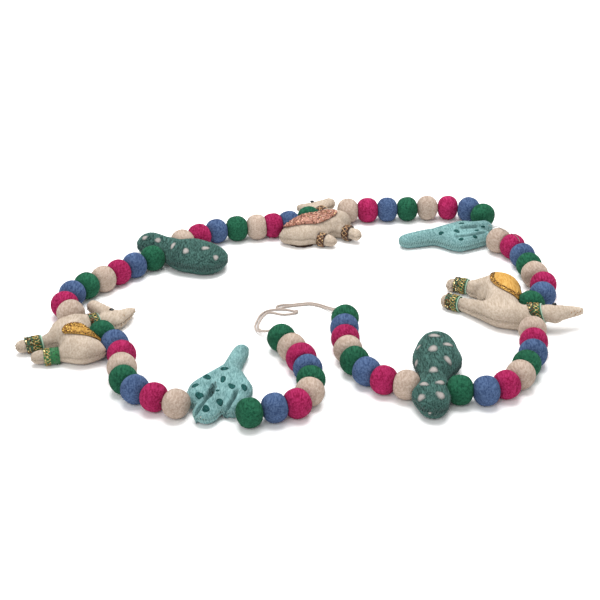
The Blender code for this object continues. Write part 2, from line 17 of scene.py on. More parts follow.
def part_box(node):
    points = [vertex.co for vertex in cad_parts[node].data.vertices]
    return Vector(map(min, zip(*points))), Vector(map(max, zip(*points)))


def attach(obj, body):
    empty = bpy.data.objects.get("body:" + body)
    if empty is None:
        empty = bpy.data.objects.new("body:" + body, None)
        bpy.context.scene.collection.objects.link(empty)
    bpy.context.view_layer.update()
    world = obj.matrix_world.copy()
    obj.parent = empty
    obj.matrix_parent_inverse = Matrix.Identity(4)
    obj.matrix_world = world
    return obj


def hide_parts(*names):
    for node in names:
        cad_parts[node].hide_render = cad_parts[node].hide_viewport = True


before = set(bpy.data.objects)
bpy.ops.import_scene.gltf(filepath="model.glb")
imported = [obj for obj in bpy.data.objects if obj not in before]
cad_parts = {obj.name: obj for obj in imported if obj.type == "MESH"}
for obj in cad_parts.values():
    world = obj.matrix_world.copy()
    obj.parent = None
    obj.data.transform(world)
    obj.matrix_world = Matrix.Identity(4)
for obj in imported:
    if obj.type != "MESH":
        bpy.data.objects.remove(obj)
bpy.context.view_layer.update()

# %% [markdown]
# The garland was laid out in millimetres on a table whose origin is under the camera's line of
# sight. The frame is in metres round the middle of the outline, so one function moves places over.
# A few more do what many steps below need: directions, angles, lengths along a line, and objects.

# %% Move places from the table to the frame
MM = 0.001
TABLE_MIDDLE = np.array((3.0, 6.6, 0.0))


def metres(points):
    """Places in the table's millimetres, less the middle of the outline, times one thousandth."""
    return (np.asarray(points, float) - TABLE_MIDDLE) * MM


def on_table(points):
    """Places in the frame's metres, moved back to the table's millimetres."""
    return np.asarray(points, float) / MM + TABLE_MIDDLE


def unit(vectors):
    """Vectors divided by their own lengths."""
    return vectors / np.maximum(np.linalg.norm(vectors, axis=-1, keepdims=True), 1e-9)


def full_turn(count):
    """Angles that go once round in equal steps."""
    return np.linspace(0, 2 * math.pi, count, endpoint=False)


def travelled(points):
    """How far each point of a line is from its first one, along the line."""
    return np.concatenate([[0.0], np.cumsum(np.linalg.norm(np.diff(points, axis=0), axis=1))])


def new_object(name, data):
    """An object for a mesh, a camera or a light, linked into the scene."""
    thing = bpy.data.objects.new(name, data)
    bpy.context.scene.collection.objects.link(thing)
    return thing


# %% [markdown]
# The camera stands in front of the table and looks down on it. Its place, tilt and focal length
# were worked out from the photograph, and they decide how round the ring of balls looks.

# %% Camera
CAMERA_AT = (0.0, -1096.7, 622.2)
CAMERA_LOOKS_DOWN = math.radians(29.18)
FOCAL_PIXELS = 1380.46
PHOTO_PIXELS = 600

camera_data = bpy.data.cameras.new("photo_camera")
camera_data.lens = FOCAL_PIXELS / PHOTO_PIXELS * camera_data.sensor_width
camera = new_object("photo_camera", camera_data)
camera.location = metres(CAMERA_AT)
camera.rotation_euler = (math.pi / 2 - CAMERA_LOOKS_DOWN, 0, 0)
bpy.context.scene.camera = camera
print("lens", round(camera_data.lens, 2), "mm")

# %% [markdown]
# A small detail, such as a spot or a loose thread, is best placed by where it shows. This function
# gives the direction of the sight line through a point of the picture, and the detail then goes
# where that line meets the piece that carries it.

# %% Sight lines
def sight_line(across, down):
    """Direction from the camera: forward, plus the steps right and up that the picture point is
    from the middle, each divided by the focal length."""
    right = (across - PHOTO_PIXELS / 2) / FOCAL_PIXELS
    up = (PHOTO_PIXELS / 2 - down) / FOCAL_PIXELS
    sine, cosine = math.sin(CAMERA_LOOKS_DOWN), math.cos(CAMERA_LOOKS_DOWN)
    return Vector((right, cosine + up * sine, up * cosine - sine)).normalized()


print("middle of the picture looks along", tuple(round(value, 3) for value in sight_line(300, 300)))

# %% [markdown]
# Every shape in this lesson is a surface that numpy works out: rings of points, one after another,
# closed with a point at each end. Whole arrays are quick, and the formula stays readable.

# %% Turn rings of points into a closed mesh
def mesh_of(name, points, faces):
    """Mesh of points and arrays of faces, smooth, with its faces pointing outward: where the volume
    inside comes out negative, every face is turned over."""
    mesh = bpy.data.meshes.new(name)
    polygons = [corners for array in faces for corners in array.tolist()]
    mesh.from_pydata(np.asarray(points, float).tolist(), [], polygons)
    mesh.polygons.foreach_set("use_smooth", np.ones(len(mesh.polygons), bool))
    vertices, triangles = mesh_arrays(mesh)
    a, b, c = (vertices[triangles[:, k]] for k in range(3))
    if np.einsum("ij,ij->i", a, np.cross(b, c)).sum() < 0:
        mesh.flip_normals()
    mesh.update()
    return mesh


def mesh_arrays(mesh):
    """The points and the triangles of a mesh, as two arrays."""
    mesh.calc_loop_triangles()
    points = np.empty(len(mesh.vertices) * 3, np.float32)
    mesh.vertices.foreach_get("co", points)
    triangles = np.empty(len(mesh.loop_triangles) * 3, np.int32)
    mesh.loop_triangles.foreach_get("vertices", triangles)
    return points.reshape(-1, 3).astype(float), triangles.reshape(-1, 3)


def ring_faces(rows, sides):
    """Faces that close rings of points: four corners between two rings, three at each end point.
    Point 0 is the first end, then come the rings, and the last point is the other end. Gives an
    array of the threes and an array of the fours."""
    around = np.arange(sides)
    beside = (around + 1) % sides
    ring = 1 + sides * np.arange(rows)[:, None]
    walls = np.stack(
        [ring[:-1] + around, ring[:-1] + beside, ring[1:] + beside, ring[1:] + around], axis=-1
    )
    first = np.column_stack([np.zeros(sides, int), 1 + beside, 1 + around])
    last = np.column_stack([np.full(sides, rows * sides + 1), ring[-1] + around, ring[-1] + beside])
    return [np.vstack([first, last]), walls.reshape(-1, 4)]


def ringed_mesh(name, rings, first, last):
    """Closed mesh of an array of rings, rings by points by three, and its two end points."""
    points = np.vstack([[first], rings.reshape(-1, 3), [last]])
    return mesh_of(name, points, ring_faces(*rings.shape[:2]))


# %% [markdown]
# Every piece is put into the scene in the same way. It rides on the frame, and the plain solids that it
# stands in for are hidden.

# %% Put a piece on the frame
def add_piece(mesh, material, slot, *solids):
    """An object for a finished mesh, with its material, riding on the frame."""
    piece = new_object(mesh.name, mesh)
    mesh.materials.clear()
    mesh.materials.append(material)
    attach(piece, "root")
    if solids:
        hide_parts(*solids)
    return piece


# %% [markdown]
# Colours are written as the hex values that a paint program shows. A shader works in linear light,
# so one function turns them over. Another one adds a node with its settings and its links, and
# four more add the nodes that nearly every material below has: a noise, a mix of two colours, a
# new range for a value, and bumps.

# %% Helpers for materials
def colour(hex_value):
    """Linear colour of an sRGB hex value: each channel goes through the sRGB curve backwards."""
    channels = np.array([int(hex_value[at : at + 2], 16) for at in (0, 2, 4)]) / 255
    linear = np.where(channels > 0.04045, ((channels + 0.055) / 1.055) ** 2.4, channels / 12.92)
    return (*linear.tolist(), 1.0)


def add_node(tree, kind, inputs, **settings):
    """Adds one node. Each input, named or numbered, takes a value or another node's output."""
    node = tree.nodes.new(kind)
    for name, value in settings.items():
        setattr(node, name, value)
    for socket, value in inputs.items():
        if isinstance(value, bpy.types.NodeSocket):
            tree.links.new(value, node.inputs[socket])
        else:
            node.inputs[socket].default_value = value
    return node


def noise(tree, place, scale, detail=2.0, roughness=0.5, distortion=0.0):
    """A noise. The scale is how many of its patches fit in a metre."""
    inputs = {"Vector": place, "Scale": scale, "Detail": detail, "Roughness": roughness}
    return add_node(tree, "ShaderNodeTexNoise", {**inputs, "Distortion": distortion}).outputs["Fac"]


def mixed(tree, share, first, second):
    """The first colour where the share is nought, the second where it is one."""
    inputs = {0: share, 6: first, 7: second}
    return add_node(tree, "ShaderNodeMix", inputs, data_type="RGBA").outputs[2]


def new_range(tree, value, low, high, to_low=0.0, to_high=1.0):
    """A value that goes from the new low to the new high while the old one goes from low to high."""
    inputs = {"Value": value, "From Min": low, "From Max": high, "To Min": to_low, "To Max": to_high}
    return add_node(tree, "ShaderNodeMapRange", inputs).outputs[0]


def bumps_of(tree, height, strength, distance):
    """Bumps as high as a value times a distance."""
    inputs = {"Height": height, "Strength": strength, "Distance": distance}
    return add_node(tree, "ShaderNodeBump", inputs).outputs[0]


def start_material(name):
    """A new material with an empty node tree, and the place on the object, for its patterns."""
    material = bpy.data.materials.new(name)
    material.use_nodes = True
    tree = material.node_tree
    tree.nodes.clear()
    return material, tree, add_node(tree, "ShaderNodeTexCoord", {}).outputs["Object"]


def finish_material(tree, inputs):
    """Ends a material with the main shader, which takes the inputs, and the output."""
    shader = add_node(tree, "ShaderNodeBsdfPrincipled", inputs)
    add_node(tree, "ShaderNodeOutputMaterial", {"Surface": shader.outputs[0]})


# %% [markdown]
# Cotton twine is spun from short fibres and twisted from three plies. The plies are in the shape of
# the cord itself, so the material only has to give the fibres: a fine streaky mottle that turns
# the beige lighter and darker, and a dry surface.

# %% Spun cotton
COTTON_FIBRE_MM = 0.5


def spun_cotton(name, base, shade):
    """Dry cotton yarn: a noise as fine as its fibres mixes two tones and lifts the surface."""
    material, tree, place = start_material(name)
    fibres = noise(tree, place, 1 / (COTTON_FIBRE_MM * MM), detail=4.0, roughness=0.7)
    finish_material(
        tree,
        {
            "Base Color": mixed(tree, fibres, colour(shade), colour(base)),
            "Normal": bumps_of(tree, fibres, 0.5, 0.2 * MM),
            "Roughness": 0.9,
            "Sheen Weight": 0.3,
            "Specular IOR Level": 0.2,
        },
    )
    return material


cotton_twine = spun_cotton("twisted_cotton_twine", "C3B5A9", "7C6E68")
grey_thread = spun_cotton("grey_sewing_thread", "8E8C88", "55534F")

# %% [markdown]
# The balls are strung in eight runs between the figures. Only a few balls of each run are placed
# one by one, and a smooth curve through them gives the rest. The cords start at the end balls, so
# the runs are worked out before the cords.

# %% Where the balls lie
BALL_RADIUS = 12.5
BALL_HALF_LENGTH = 10.9
BALL_HEIGHT = 12.07

# Runs of balls: how many, then (ball's number in its run, x, y) in the table's millimetres
RUNS = {
    "a": (
        9,
        [
            (1, -16, -71),
            (3, 1, -104),
            (5, 9, -138.5),
            (6, 8, -156.5),
            (7, -2.4, -173.6),
            (8, -20.3, -180),
            (9, -40, -187),
        ],
    ),
    "b": (
        8,
        [(1, -99, -174), (3, -134, -153), (4, -145, -138), (6, -151, -99), (7, -159, -81), (8, -172, -65)],
    ),
    "c": (8, [(1, -204, -29), (2, -212, -13), (3, -208, 8), (5, -183, 36), (7, -157, 64), (8, -141, 78)]),
    "d": (8, [(1, -115, 112), (3, -83, 137), (5, -43, 146), (7, -11, 155), (8, 9, 165)]),
    "e": (8, [(1, 49, 184), (4, 110, 188), (6, 152, 191), (7, 173, 187), (8, 186, 172)]),
    "f": (
        8,
        [
            (1, 195, 116),
            (2, 207, 103),
            (3, 214, 83),
            (5, 220, 45),
            (6, 225, 25),
            (7, 221, 5),
            (8, 208, -12),
        ],
    ),
    "g": (
        8,
        [
            (1, 203, -57.5),
            (3, 197.4, -97),
            (4, 189.6, -114.5),
            (5, 182, -130.7),
            (6, 168.6, -145.8),
            (7, 151, -155),
            (8, 130, -154),
        ],
    ),
    "h": (8, [(1, 87, -146), (2, 69, -139), (4, 46, -109), (6, 39, -72), (8, 40, -37)]),
}


def smooth_curve(knots, at):
    """Smooth curve through rows of a parameter and a place: cubic pieces whose slope at each row
    is the mean of the two chords beside it, weighed by how near they are."""
    knots = np.array(knots, float)
    t, values = knots[:, 0], knots[:, 1:]
    steps = np.diff(t)[:, None]
    chords = np.diff(values, axis=0) / steps
    slopes = np.vstack([chords[:1], chords[1:], chords[-1:]])
    slopes[1:-1] = (chords[:-1] * steps[1:] + chords[1:] * steps[:-1]) / (steps[:-1] + steps[1:])
    at = np.asarray(at, float)
    index = np.clip(np.searchsorted(t, at, side="right") - 1, 0, len(t) - 2)
    span = steps[index]
    u = (at - t[index])[:, None] / span
    return (
        (2 * u**3 - 3 * u**2 + 1) * values[index]
        + (u**3 - 2 * u**2 + u) * span * slopes[index]
        + (3 * u**2 - 2 * u**3) * values[index + 1]
        + (u**3 - u**2) * span * slopes[index + 1]
    )


RUN_CENTRES = {}
for run, (count, knots) in RUNS.items():
    plan = smooth_curve(knots, np.arange(1, count + 1))
    RUN_CENTRES[run] = np.column_stack([plan, np.full(count, BALL_HEIGHT)])
ALL_CENTRES = np.vstack(list(RUN_CENTRES.values()))
print(len(ALL_CENTRES), "balls")

# %% [markdown]
# Two loops of doubled twine leave the string's ends, so that the garland can be hung. The left one
# opens into an eye that lies flat on the table, and the right one reaches back to it. Each is one
# length of twine: out along one strand, round the end, and back along the other.

# %% Routes of the two loops
TWINE_DIAMETER = 2.0
TWINE_OPENING = 1.3
TWINE_SPACING = 0.45
EXIT_GAP = 0.3
TIP_ANGLES = (30, 60, 90, 120, 150)

# Loops: run, ball that the twine leaves, the ball before it, then rows of x, y, height and half
# the opening between the strands, in the table's millimetres
LOOPS = {
    "cord_loop_1": (
        "a",
        0,
        1,
        [
            (-26, -55, 9.5, 1.3),
            (-32, -48, 5.2, 1.3),
            (-37, -41, 2.1, 1.3),
            (-38.8, -33, 1.1, 1.3),
            (-37.4, -23, 1.1, 1.3),
            (-34.4, -13, 1.1, 1.5),
            (-30.0, -6.6, 1.1, 1.6),
            (-23.5, -5.4, 1.1, 3.0),
            (-16.4, -6.6, 1.1, 4.4),
            (-9.5, -7.0, 1.1, 3.6),
            (-6.9, -7.2, 1.1, 2.8),
        ],
    ),
    "cord_loop_2": (
        "h",
        7,
        6,
        [
            (37.5, -17, 8.5, 1.3),
            (31.5, -7.5, 4.2, 1.3),
            (25, 0, 1.6, 1.3),
            (18, 5.5, 1.1, 1.3),
            (10, 8.6, 1.1, 1.3),
            (1, 7.6, 1.1, 1.3),
            (-8, 5.6, 1.1, 1.3),
            (-15, 4.4, 1.1, 2.2),
            (-19.0, 2.4, 1.1, 2.6),
        ],
    ),
}


def loop_route(name):
    """Places on the doubled twine: the middle line, plus and minus the opening to its side. After the
    last row the twine turns on a half circle whose radius is the opening."""
    run, end, before, rows = LOOPS[name]
    centres = RUN_CENTRES[run]
    along = (centres[end] - centres[before]) / np.linalg.norm(centres[end] - centres[before])
    start = centres[end] + along * (BALL_HALF_LENGTH + EXIT_GAP)
    rows = np.array([(*start, TWINE_OPENING), *rows], float)
    middle, opening = rows[:, :3], rows[:, 3:]
    heading = np.gradient(middle, axis=0)
    heading[0] = along
    side = unit(np.cross(heading, (0.0, 0.0, 1.0)))
    ahead = heading[-1] / np.linalg.norm(heading[-1])
    angle = np.radians(TIP_ANGLES)[:, None]
    tip = middle[-1] + opening[-1] * (np.cos(angle) * side[-1] + np.sin(angle) * ahead)
    return np.vstack([middle + side * opening, tip, (middle - side * opening)[::-1]])


def line_length(points):
    """Length of a line through points: the sum of its steps."""
    return float(np.linalg.norm(np.diff(points, axis=0), axis=1).sum())


def even_route(places, spacing):
    """Places an equal share apart along the smooth curve through the given places."""
    reach = travelled(places)
    count = round(reach[-1] / spacing) + 1
    return smooth_curve(np.column_stack([reach, places]), np.linspace(0.0, reach[-1], count))


for name in LOOPS:
    print(name, round(line_length(even_route(loop_route(name), TWINE_SPACING)), 1), "mm of twine")

# %% [markdown]
# A tube round the route would look like wire. Real twine has plies that wind round each other, so
# the radius rises over each ply and falls between two of them, and the pattern turns along the cord.

# %% Twisted twine
PLIES = 3
PLY_DEPTH = 0.2
TWIST_LENGTH = 6.5
TWINE_SIDES = 18


def twisted_tube(name, line, diameter, plies, twist_length, sides):
    """Rings round a line: the radius is the cord's own, less a share that is greatest between two
    plies, and the plies turn once in each twist length. Both ends are closed with a point."""
    heading = unit(np.gradient(line, axis=0))
    side = unit(np.cross(heading, (0.0, 0.0, 1.0)))
    up = np.cross(side, heading)
    angle = full_turn(sides)[None, :]
    turned = angle - 2 * math.pi * travelled(line)[:, None] / twist_length
    radius = diameter / 2 * (1 - PLY_DEPTH + PLY_DEPTH * np.abs(np.cos(plies / 2 * turned)))
    rings = (
        line[:, None, :]
        + (radius * np.cos(angle))[..., None] * side[:, None, :]
        + (radius * np.sin(angle))[..., None] * up[:, None, :]
    )
    return ringed_mesh(name, rings, line[0], line[-1])


TWINES = {}
for name in LOOPS:
    line = metres(even_route(loop_route(name), TWINE_SPACING))
    mesh = twisted_tube(name + "_twine", line, TWINE_DIAMETER * MM, PLIES, TWIST_LENGTH * MM, TWINE_SIDES)
    TWINES[name] = (add_piece(mesh, cotton_twine, "cord_cotton", name), line)
    print(mesh.name, len(mesh.polygons), "faces")

# %% [markdown]
# The first loop's tip has a small tight knot. A knot that closes on itself has a well known curve,
# the trefoil: the line goes round twice while it rises and falls three times, and so passes over
# and under itself. Two sines and two cosines give it, and a tube goes round the closed line.

# %% The knot, and what the cords are
KNOT_MIDDLE = np.array((-4.0, -7.3, 1.6))
KNOT_SIZE = np.array((0.72, 0.62, 0.78))
KNOT_TWINE_RADIUS = 0.8
KNOT_STEPS = 72
KNOT_SIDES = 12


def closed_both_ways(rows, sides):
    """Faces of a ring of rings: each corner joins the next in its ring and in the next ring."""
    row, side = np.meshgrid(np.arange(rows), np.arange(sides), indexing="ij")
    next_row, next_side = (row + 1) % rows, (side + 1) % sides
    corners = np.stack([row, row, next_row, next_row], axis=-1) * sides
    corners = corners + np.stack([side, next_side, next_side, side], axis=-1)
    return [corners.reshape(-1, 4)]


def closed_tube(name, line, spare, radius, sides):
    """Tube round a closed line, in millimetres: each ring stands square to the line, turned by a
    spare direction that the line never follows."""
    heading = unit(np.roll(line, -1, axis=0) - np.roll(line, 1, axis=0))
    side = unit(np.cross(heading, spare))
    up = np.cross(side, heading)
    angle = full_turn(sides)[:, None]
    rings = line[:, None] + radius * (np.cos(angle) * side[:, None] + np.sin(angle) * up[:, None])
    return mesh_of(name, metres(rings.reshape(-1, 3)), closed_both_ways(len(line), sides))


turn = full_turn(KNOT_STEPS)
trefoil = np.column_stack(
    [np.sin(turn) + 2 * np.sin(2 * turn), np.cos(turn) - 2 * np.cos(2 * turn), -np.sin(3 * turn)]
)
mesh = closed_tube(
    "cord_loop_1_knot",
    KNOT_MIDDLE + KNOT_SIZE * trefoil,
    (0.0, 0.0, 1.0),
    KNOT_TWINE_RADIUS,
    KNOT_SIDES,
)
knot = add_piece(mesh, cotton_twine, "cord_cotton")

for name, (twine, line) in TWINES.items():
    print(twine.name, "is", round(line_length(line) * 1000, 1), "mm long")

# %% [markdown]
# Felt is wool that has been wetted, soaped and rolled until its fibres lock together. It has no
# weave. What the eye sees is a fine mottle of fibres that cross in all directions, a slow change
# of dye over the whole ball, no gloss at all, and a soft bright edge where fibres stand up. So the
# material mixes streaks that run three ways with a finer grain, and adds a little sheen.
# A wool fibre is 0.03 mm thick, far under a pixel, so the grain is drawn about thirty times coarser.

# %% Wool felt
FELT_CLOUD_MM = 26.0
FELT_RELIEF_MM = 0.25
STREAK_TURNS = ((0.4, 0.0, 0.3), (1.3, 0.5, 1.4), (0.2, 1.2, 2.4))


def wool_felt(name, base, dark, light, grain=1.0, streak=1.5, contrast=1.0, sheen=0.1):
    """Felt of one dye: grain and streaks, whose sizes are in millimetres, mix a dark and a light tone
    into the base, and slow clouds make it darker and lighter from place to place."""
    material, tree, place = start_material(name)
    streaks = noise(tree, place, 1 / (grain * MM), detail=5.0, roughness=0.75)
    for turn in STREAK_TURNS:
        combed = add_node(
            tree, "ShaderNodeMapping", {"Vector": place, "Rotation": turn, "Scale": (1.0, 0.22, 1.0)}
        ).outputs[0]
        lay = noise(tree, combed, 1 / (streak * MM), distortion=0.6)
        streaks = add_node(tree, "ShaderNodeMath", {0: streaks, 1: lay}, operation="ADD").outputs[0]
    fibres = new_range(tree, streaks, 1.72, 2.28)
    mottled = mixed(tree, fibres, colour(dark), colour(light))
    toned = mixed(tree, 0.5 * contrast, colour(base), mottled)
    clouds = noise(tree, place, 1 / (FELT_CLOUD_MM * MM), detail=1.0)
    shade = new_range(tree, clouds, 0.3, 0.7, 0.86, 1.1)
    dyed = add_node(
        tree, "ShaderNodeVectorMath", {0: toned, "Scale": shade}, operation="SCALE"
    ).outputs[0]
    finish_material(
        tree,
        {
            "Base Color": dyed,
            "Normal": bumps_of(tree, streaks, 0.55, FELT_RELIEF_MM * MM),
            "Roughness": 0.95,
            "Specular IOR Level": 0.12,
            "Sheen Weight": sheen,
            "Sheen Roughness": 0.5,
            "Sheen Tint": colour(light),
        },
    )
    return material


FELTS = {
    "felt_green": wool_felt("felt_wool_green", "174C36", "092D1F", "2F6C50"),
    "felt_white": wool_felt("felt_wool_cream", "A59286", "84725F", "C0B0A2"),
    "felt_pink": wool_felt("felt_wool_pink", "8C1040", "590627", "B3376A"),
    "felt_blue": wool_felt("felt_wool_blue", "374A6E", "243450", "5C7294"),
}

# %% [markdown]
# A felt ball is rolled between the palms, so it is nearly round but never quite. Strung tight, each
# ball is pressed flat against its neighbours, and its own weight gives it a small flat spot below.
# The formula starts from a round form a little shorter along the string, adds slow bumps, and
# then moves every point that is past one of those three planes back onto it.

# %% Shape of one ball
BALL_ROUNDNESS = 2.3
BALL_ROWS = 26
BALL_SIDES = 48
BALL_PRESS_GAP = 0.3
BUMP_SHARE = 0.012
BUMPS_PER_BALL = 6
BUMP_WAVES = 2.2
SIZE_SHARE = 0.025
TALL_BALLS = {("a", 2): 1.05}


def ball_points(centre, along, size, random):
    """Rings round the string: at each share of the half length the radius follows a rounded
    profile, where share and radius to the power of the roundness add up to one. Slow waves in
    random directions then scale the distance from the middle."""
    turn = np.linspace(0, math.pi, BALL_ROWS + 2)[1:-1, None]
    around = full_turn(BALL_SIDES)[None, :]
    share = np.cos(turn)
    radius = (1 - np.abs(share) ** BALL_ROUNDNESS) ** (1 / BALL_ROUNDNESS) * BALL_RADIUS
    across = np.cross((0.0, 0.0, 1.0), along)
    up = np.cross(along, across)
    rings = (
        (share * BALL_HALF_LENGTH * np.ones_like(around))[..., None] * along
        + (radius * np.cos(around))[..., None] * across
        + (radius * np.sin(around))[..., None] * up
    )
    points = np.vstack([[along * BALL_HALF_LENGTH], rings.reshape(-1, 3), [-along * BALL_HALF_LENGTH]])
    waves = random.normal(size=(BUMPS_PER_BALL, 3)) / BALL_RADIUS
    phases = random.uniform(0, 2 * math.pi, BUMPS_PER_BALL)
    bumps = np.sin(BUMP_WAVES * points @ waves.T + phases).sum(axis=1) / math.sqrt(BUMPS_PER_BALL)
    return centre + points * (size * (1 + BUMP_SHARE * bumps))[:, None]


def pressed(points, centre, neighbours):
    """Points past the plane halfway to a neighbour, or below the table, moved onto that plane."""
    for neighbour in neighbours:
        outward = (neighbour - centre) / np.linalg.norm(neighbour - centre)
        limit = np.linalg.norm(neighbour - centre) / 2 - BALL_PRESS_GAP / 2
        past = np.maximum((points - centre) @ outward - limit, 0)
        points = points - past[:, None] * outward
    points[:, 2] = np.maximum(points[:, 2], 0.0)
    return points


# %% [markdown]
# The colours repeat along the string: green, white, pink, blue. The plain solids hold the balls in
# pairs, because the part may have only so many solids, so two balls here stand in for one of them.

# %% Make the 65 balls
BALL_ORDER = ("felt_green", "felt_white", "felt_pink", "felt_blue")
BALL_SLOTS = {
    "felt_green": "felt_green",
    "felt_white": "felt_white_and_pink",
    "felt_pink": "felt_white_and_pink",
    "felt_blue": "felt_blue_and_green",
}
BALLS = {}
number = 0
for run, centres in RUN_CENTRES.items():
    headings = unit(np.gradient(centres, axis=0))
    for index, centre in enumerate(centres):
        random = np.random.default_rng(1000 + number)
        felt = BALL_ORDER[number % 4]
        solid = f"ball_pair_{(number + 1) // 2:02d}" if number else "ball_end"
        size = TALL_BALLS.get((run, index), 1 + SIZE_SHARE * random.uniform(-1, 0.6))
        points = ball_points(centre, headings[index], size, random)
        near = [centres[other] for other in (index - 1, index + 1) if 0 <= other < len(centres)]
        points = pressed(points, centre, near)
        mesh = mesh_of(f"ball_{run}{index + 1}", metres(points), ring_faces(BALL_ROWS, BALL_SIDES))
        BALLS[mesh.name] = (add_piece(mesh, FELTS[felt], BALL_SLOTS[felt], solid), felt)
        number += 1
print(number, "balls,", sum(len(ball.data.polygons) for ball, felt in BALLS.values()), "faces")

# %% [markdown]
# The llamas and cacti are stuffed felt: two cut layers, sewn round the edge and filled with wool. The
# plain solid gives the lie and the size. Its copy is melted into even faces, then a cloth
# solver blows it up a little from inside, as the filling does, so that it bulges between its
# seams and puckers in its corners. How far any point may move is limited, so it keeps its place.
# The solver is tuned for things the size of a cushion, so the form is ten times larger inside it.

# %% Melt a solid into an even skin
MERGE_DISTANCE = 0.01
SKIN_GRID = 1.5
SKIN_SOFTENING = 5
EGG_SUBDIVISIONS = 4
CLOTH_SCALE = 10.0


def evaluated(piece):
    """A new mesh of a piece with its modifiers applied."""
    graph = bpy.context.evaluated_depsgraph_get()
    return bpy.data.meshes.new_from_object(piece.evaluated_get(graph))


def apply_modifiers(piece):
    """Keep what the modifiers make, and take them off."""
    mesh = evaluated(piece)
    piece.modifiers.clear()
    piece.data = mesh
    return piece


# Extra filling: between two legs that lie closer together than they were cut, in feet and in the
# tip of an ear. Each is an egg, with its middle and its half sizes
EXTRA_FILLING = {
    "llama_1": (
        ((-150.2, -13.6, 6.6), (3.2, 3.0, 3.2)),
        ((-153.6, -16.3, 6.8), (3.8, 3.4, 3.8)),
    ),
    "llama_2": (((56.9, 134.9, 8.6), (5.2, 5.6, 6.0)),),
    "llama_3": (
        ((172.0, 14.0, 6.5), (11.0, 13.0, 6.6)),
        ((163.0, 24.0, 6.5), (9.0, 7.0, 6.3)),
        ((133.2, 1.8, 6.4), (5.4, 5.8, 6.2)),
        ((141.4, 35.0, 6.4), (5.4, 5.8, 6.2)),
    ),
}


def melted_skin(node, name):
    """Copy of a solid with its loose triangles joined, remeshed on a fine grid and softened. Any
    extra filling is an egg that the remesh melts into the rest."""
    shape = bmesh.new()
    shape.from_mesh(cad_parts[node].data)
    bmesh.ops.remove_doubles(shape, verts=shape.verts, dist=MERGE_DISTANCE * MM)
    for middle, half in EXTRA_FILLING.get(node, ()):
        egg = Matrix.Translation(metres(middle)) @ Matrix.Diagonal((*(np.array(half) * MM), 1.0))
        bmesh.ops.create_icosphere(shape, subdivisions=EGG_SUBDIVISIONS, radius=1.0, matrix=egg)
    mesh = bpy.data.meshes.new(name)
    shape.to_mesh(mesh)
    shape.free()
    piece = new_object(name, mesh)
    melt = piece.modifiers.new("melt", "REMESH")
    melt.mode = "VOXEL"
    melt.voxel_size = SKIN_GRID * MM
    soften = piece.modifiers.new("soften", "SMOOTH")
    soften.iterations = SKIN_SOFTENING
    return apply_modifiers(piece)


def read_points(mesh, what="co"):
    """The points of a mesh, or their normals, as an array."""
    points = np.empty(len(mesh.vertices) * 3, np.float32)
    mesh.vertices.foreach_get(what, points)
    return points.reshape(-1, 3).astype(float)


def set_place(piece, points):
    """Write an array of points back into a piece's mesh."""
    piece.data.vertices.foreach_set("co", points.astype(np.float32).ravel())
    piece.data.update()


# %% Blow it up with the cloth solver
STUFFING_PRESSURE = 4.0
LAST_FRAME = 20
SWELL_LIMIT = 1.0

# How far each kind of figure is let out first: the melting and the solver both draw its ends in
LET_OUT = {"llama": 0.3, "saguaro": 0.3, "paddle_cactus": 0.9}


def kind_of(name):
    """The kind of a figure: its name without its number."""
    return name.rpartition("_")[0]


def blown_up(piece, let_out):
    """Move the points outward by how far the felt is let out, then as the cloth solver does under
    pressure from inside, but there no further than the swell limit."""
    start = read_points(piece.data) + read_points(piece.data, "normal") * let_out * MM
    middle = start.mean(axis=0)
    set_place(piece, (start - middle) * CLOTH_SCALE)
    cloth = piece.modifiers.new("stuffing", "CLOTH")
    cloth.settings.use_pressure = True
    cloth.settings.uniform_pressure_force = STUFFING_PRESSURE
    cloth.settings.effector_weights.gravity = 0.0
    cloth.point_cache.frame_start = 1
    cloth.point_cache.frame_end = LAST_FRAME
    scene = bpy.context.scene
    for number in range(1, LAST_FRAME + 1):
        scene.frame_set(number)
    blown = read_points(evaluated(piece))
    piece.modifiers.clear()
    scene.frame_set(1)
    moved = blown / CLOTH_SCALE + middle - start
    far = np.linalg.norm(moved, axis=1)[:, None]
    set_place(piece, start + moved * np.minimum(1, SWELL_LIMIT * MM / np.maximum(far, 1e-9)))
    print(piece.name, "moved", round(float(far.mean()) * 1000, 2), "mm on average before the limit")
    return piece


# %% [markdown]
# Filling pushes felt against whatever lies beside it. After the solver, points that ended up inside a
# ball are moved out to its surface, points under a ribbon are held in by it, and points below
# the table are put on it.

# %% Keep the skin clear of its neighbours
CLEARANCE = 0.3


def clear_of_balls(points):
    """Points inside a ball, grown by the clearance, moved straight out from its middle."""
    room = BALL_RADIUS + CLEARANCE
    for centre in ALL_CENTRES:
        away = points - centre
        far = np.linalg.norm(away, axis=1)
        inside = (far < room) & (far > 0)
        points[inside] = centre + away[inside] / far[inside, None] * room
    return points


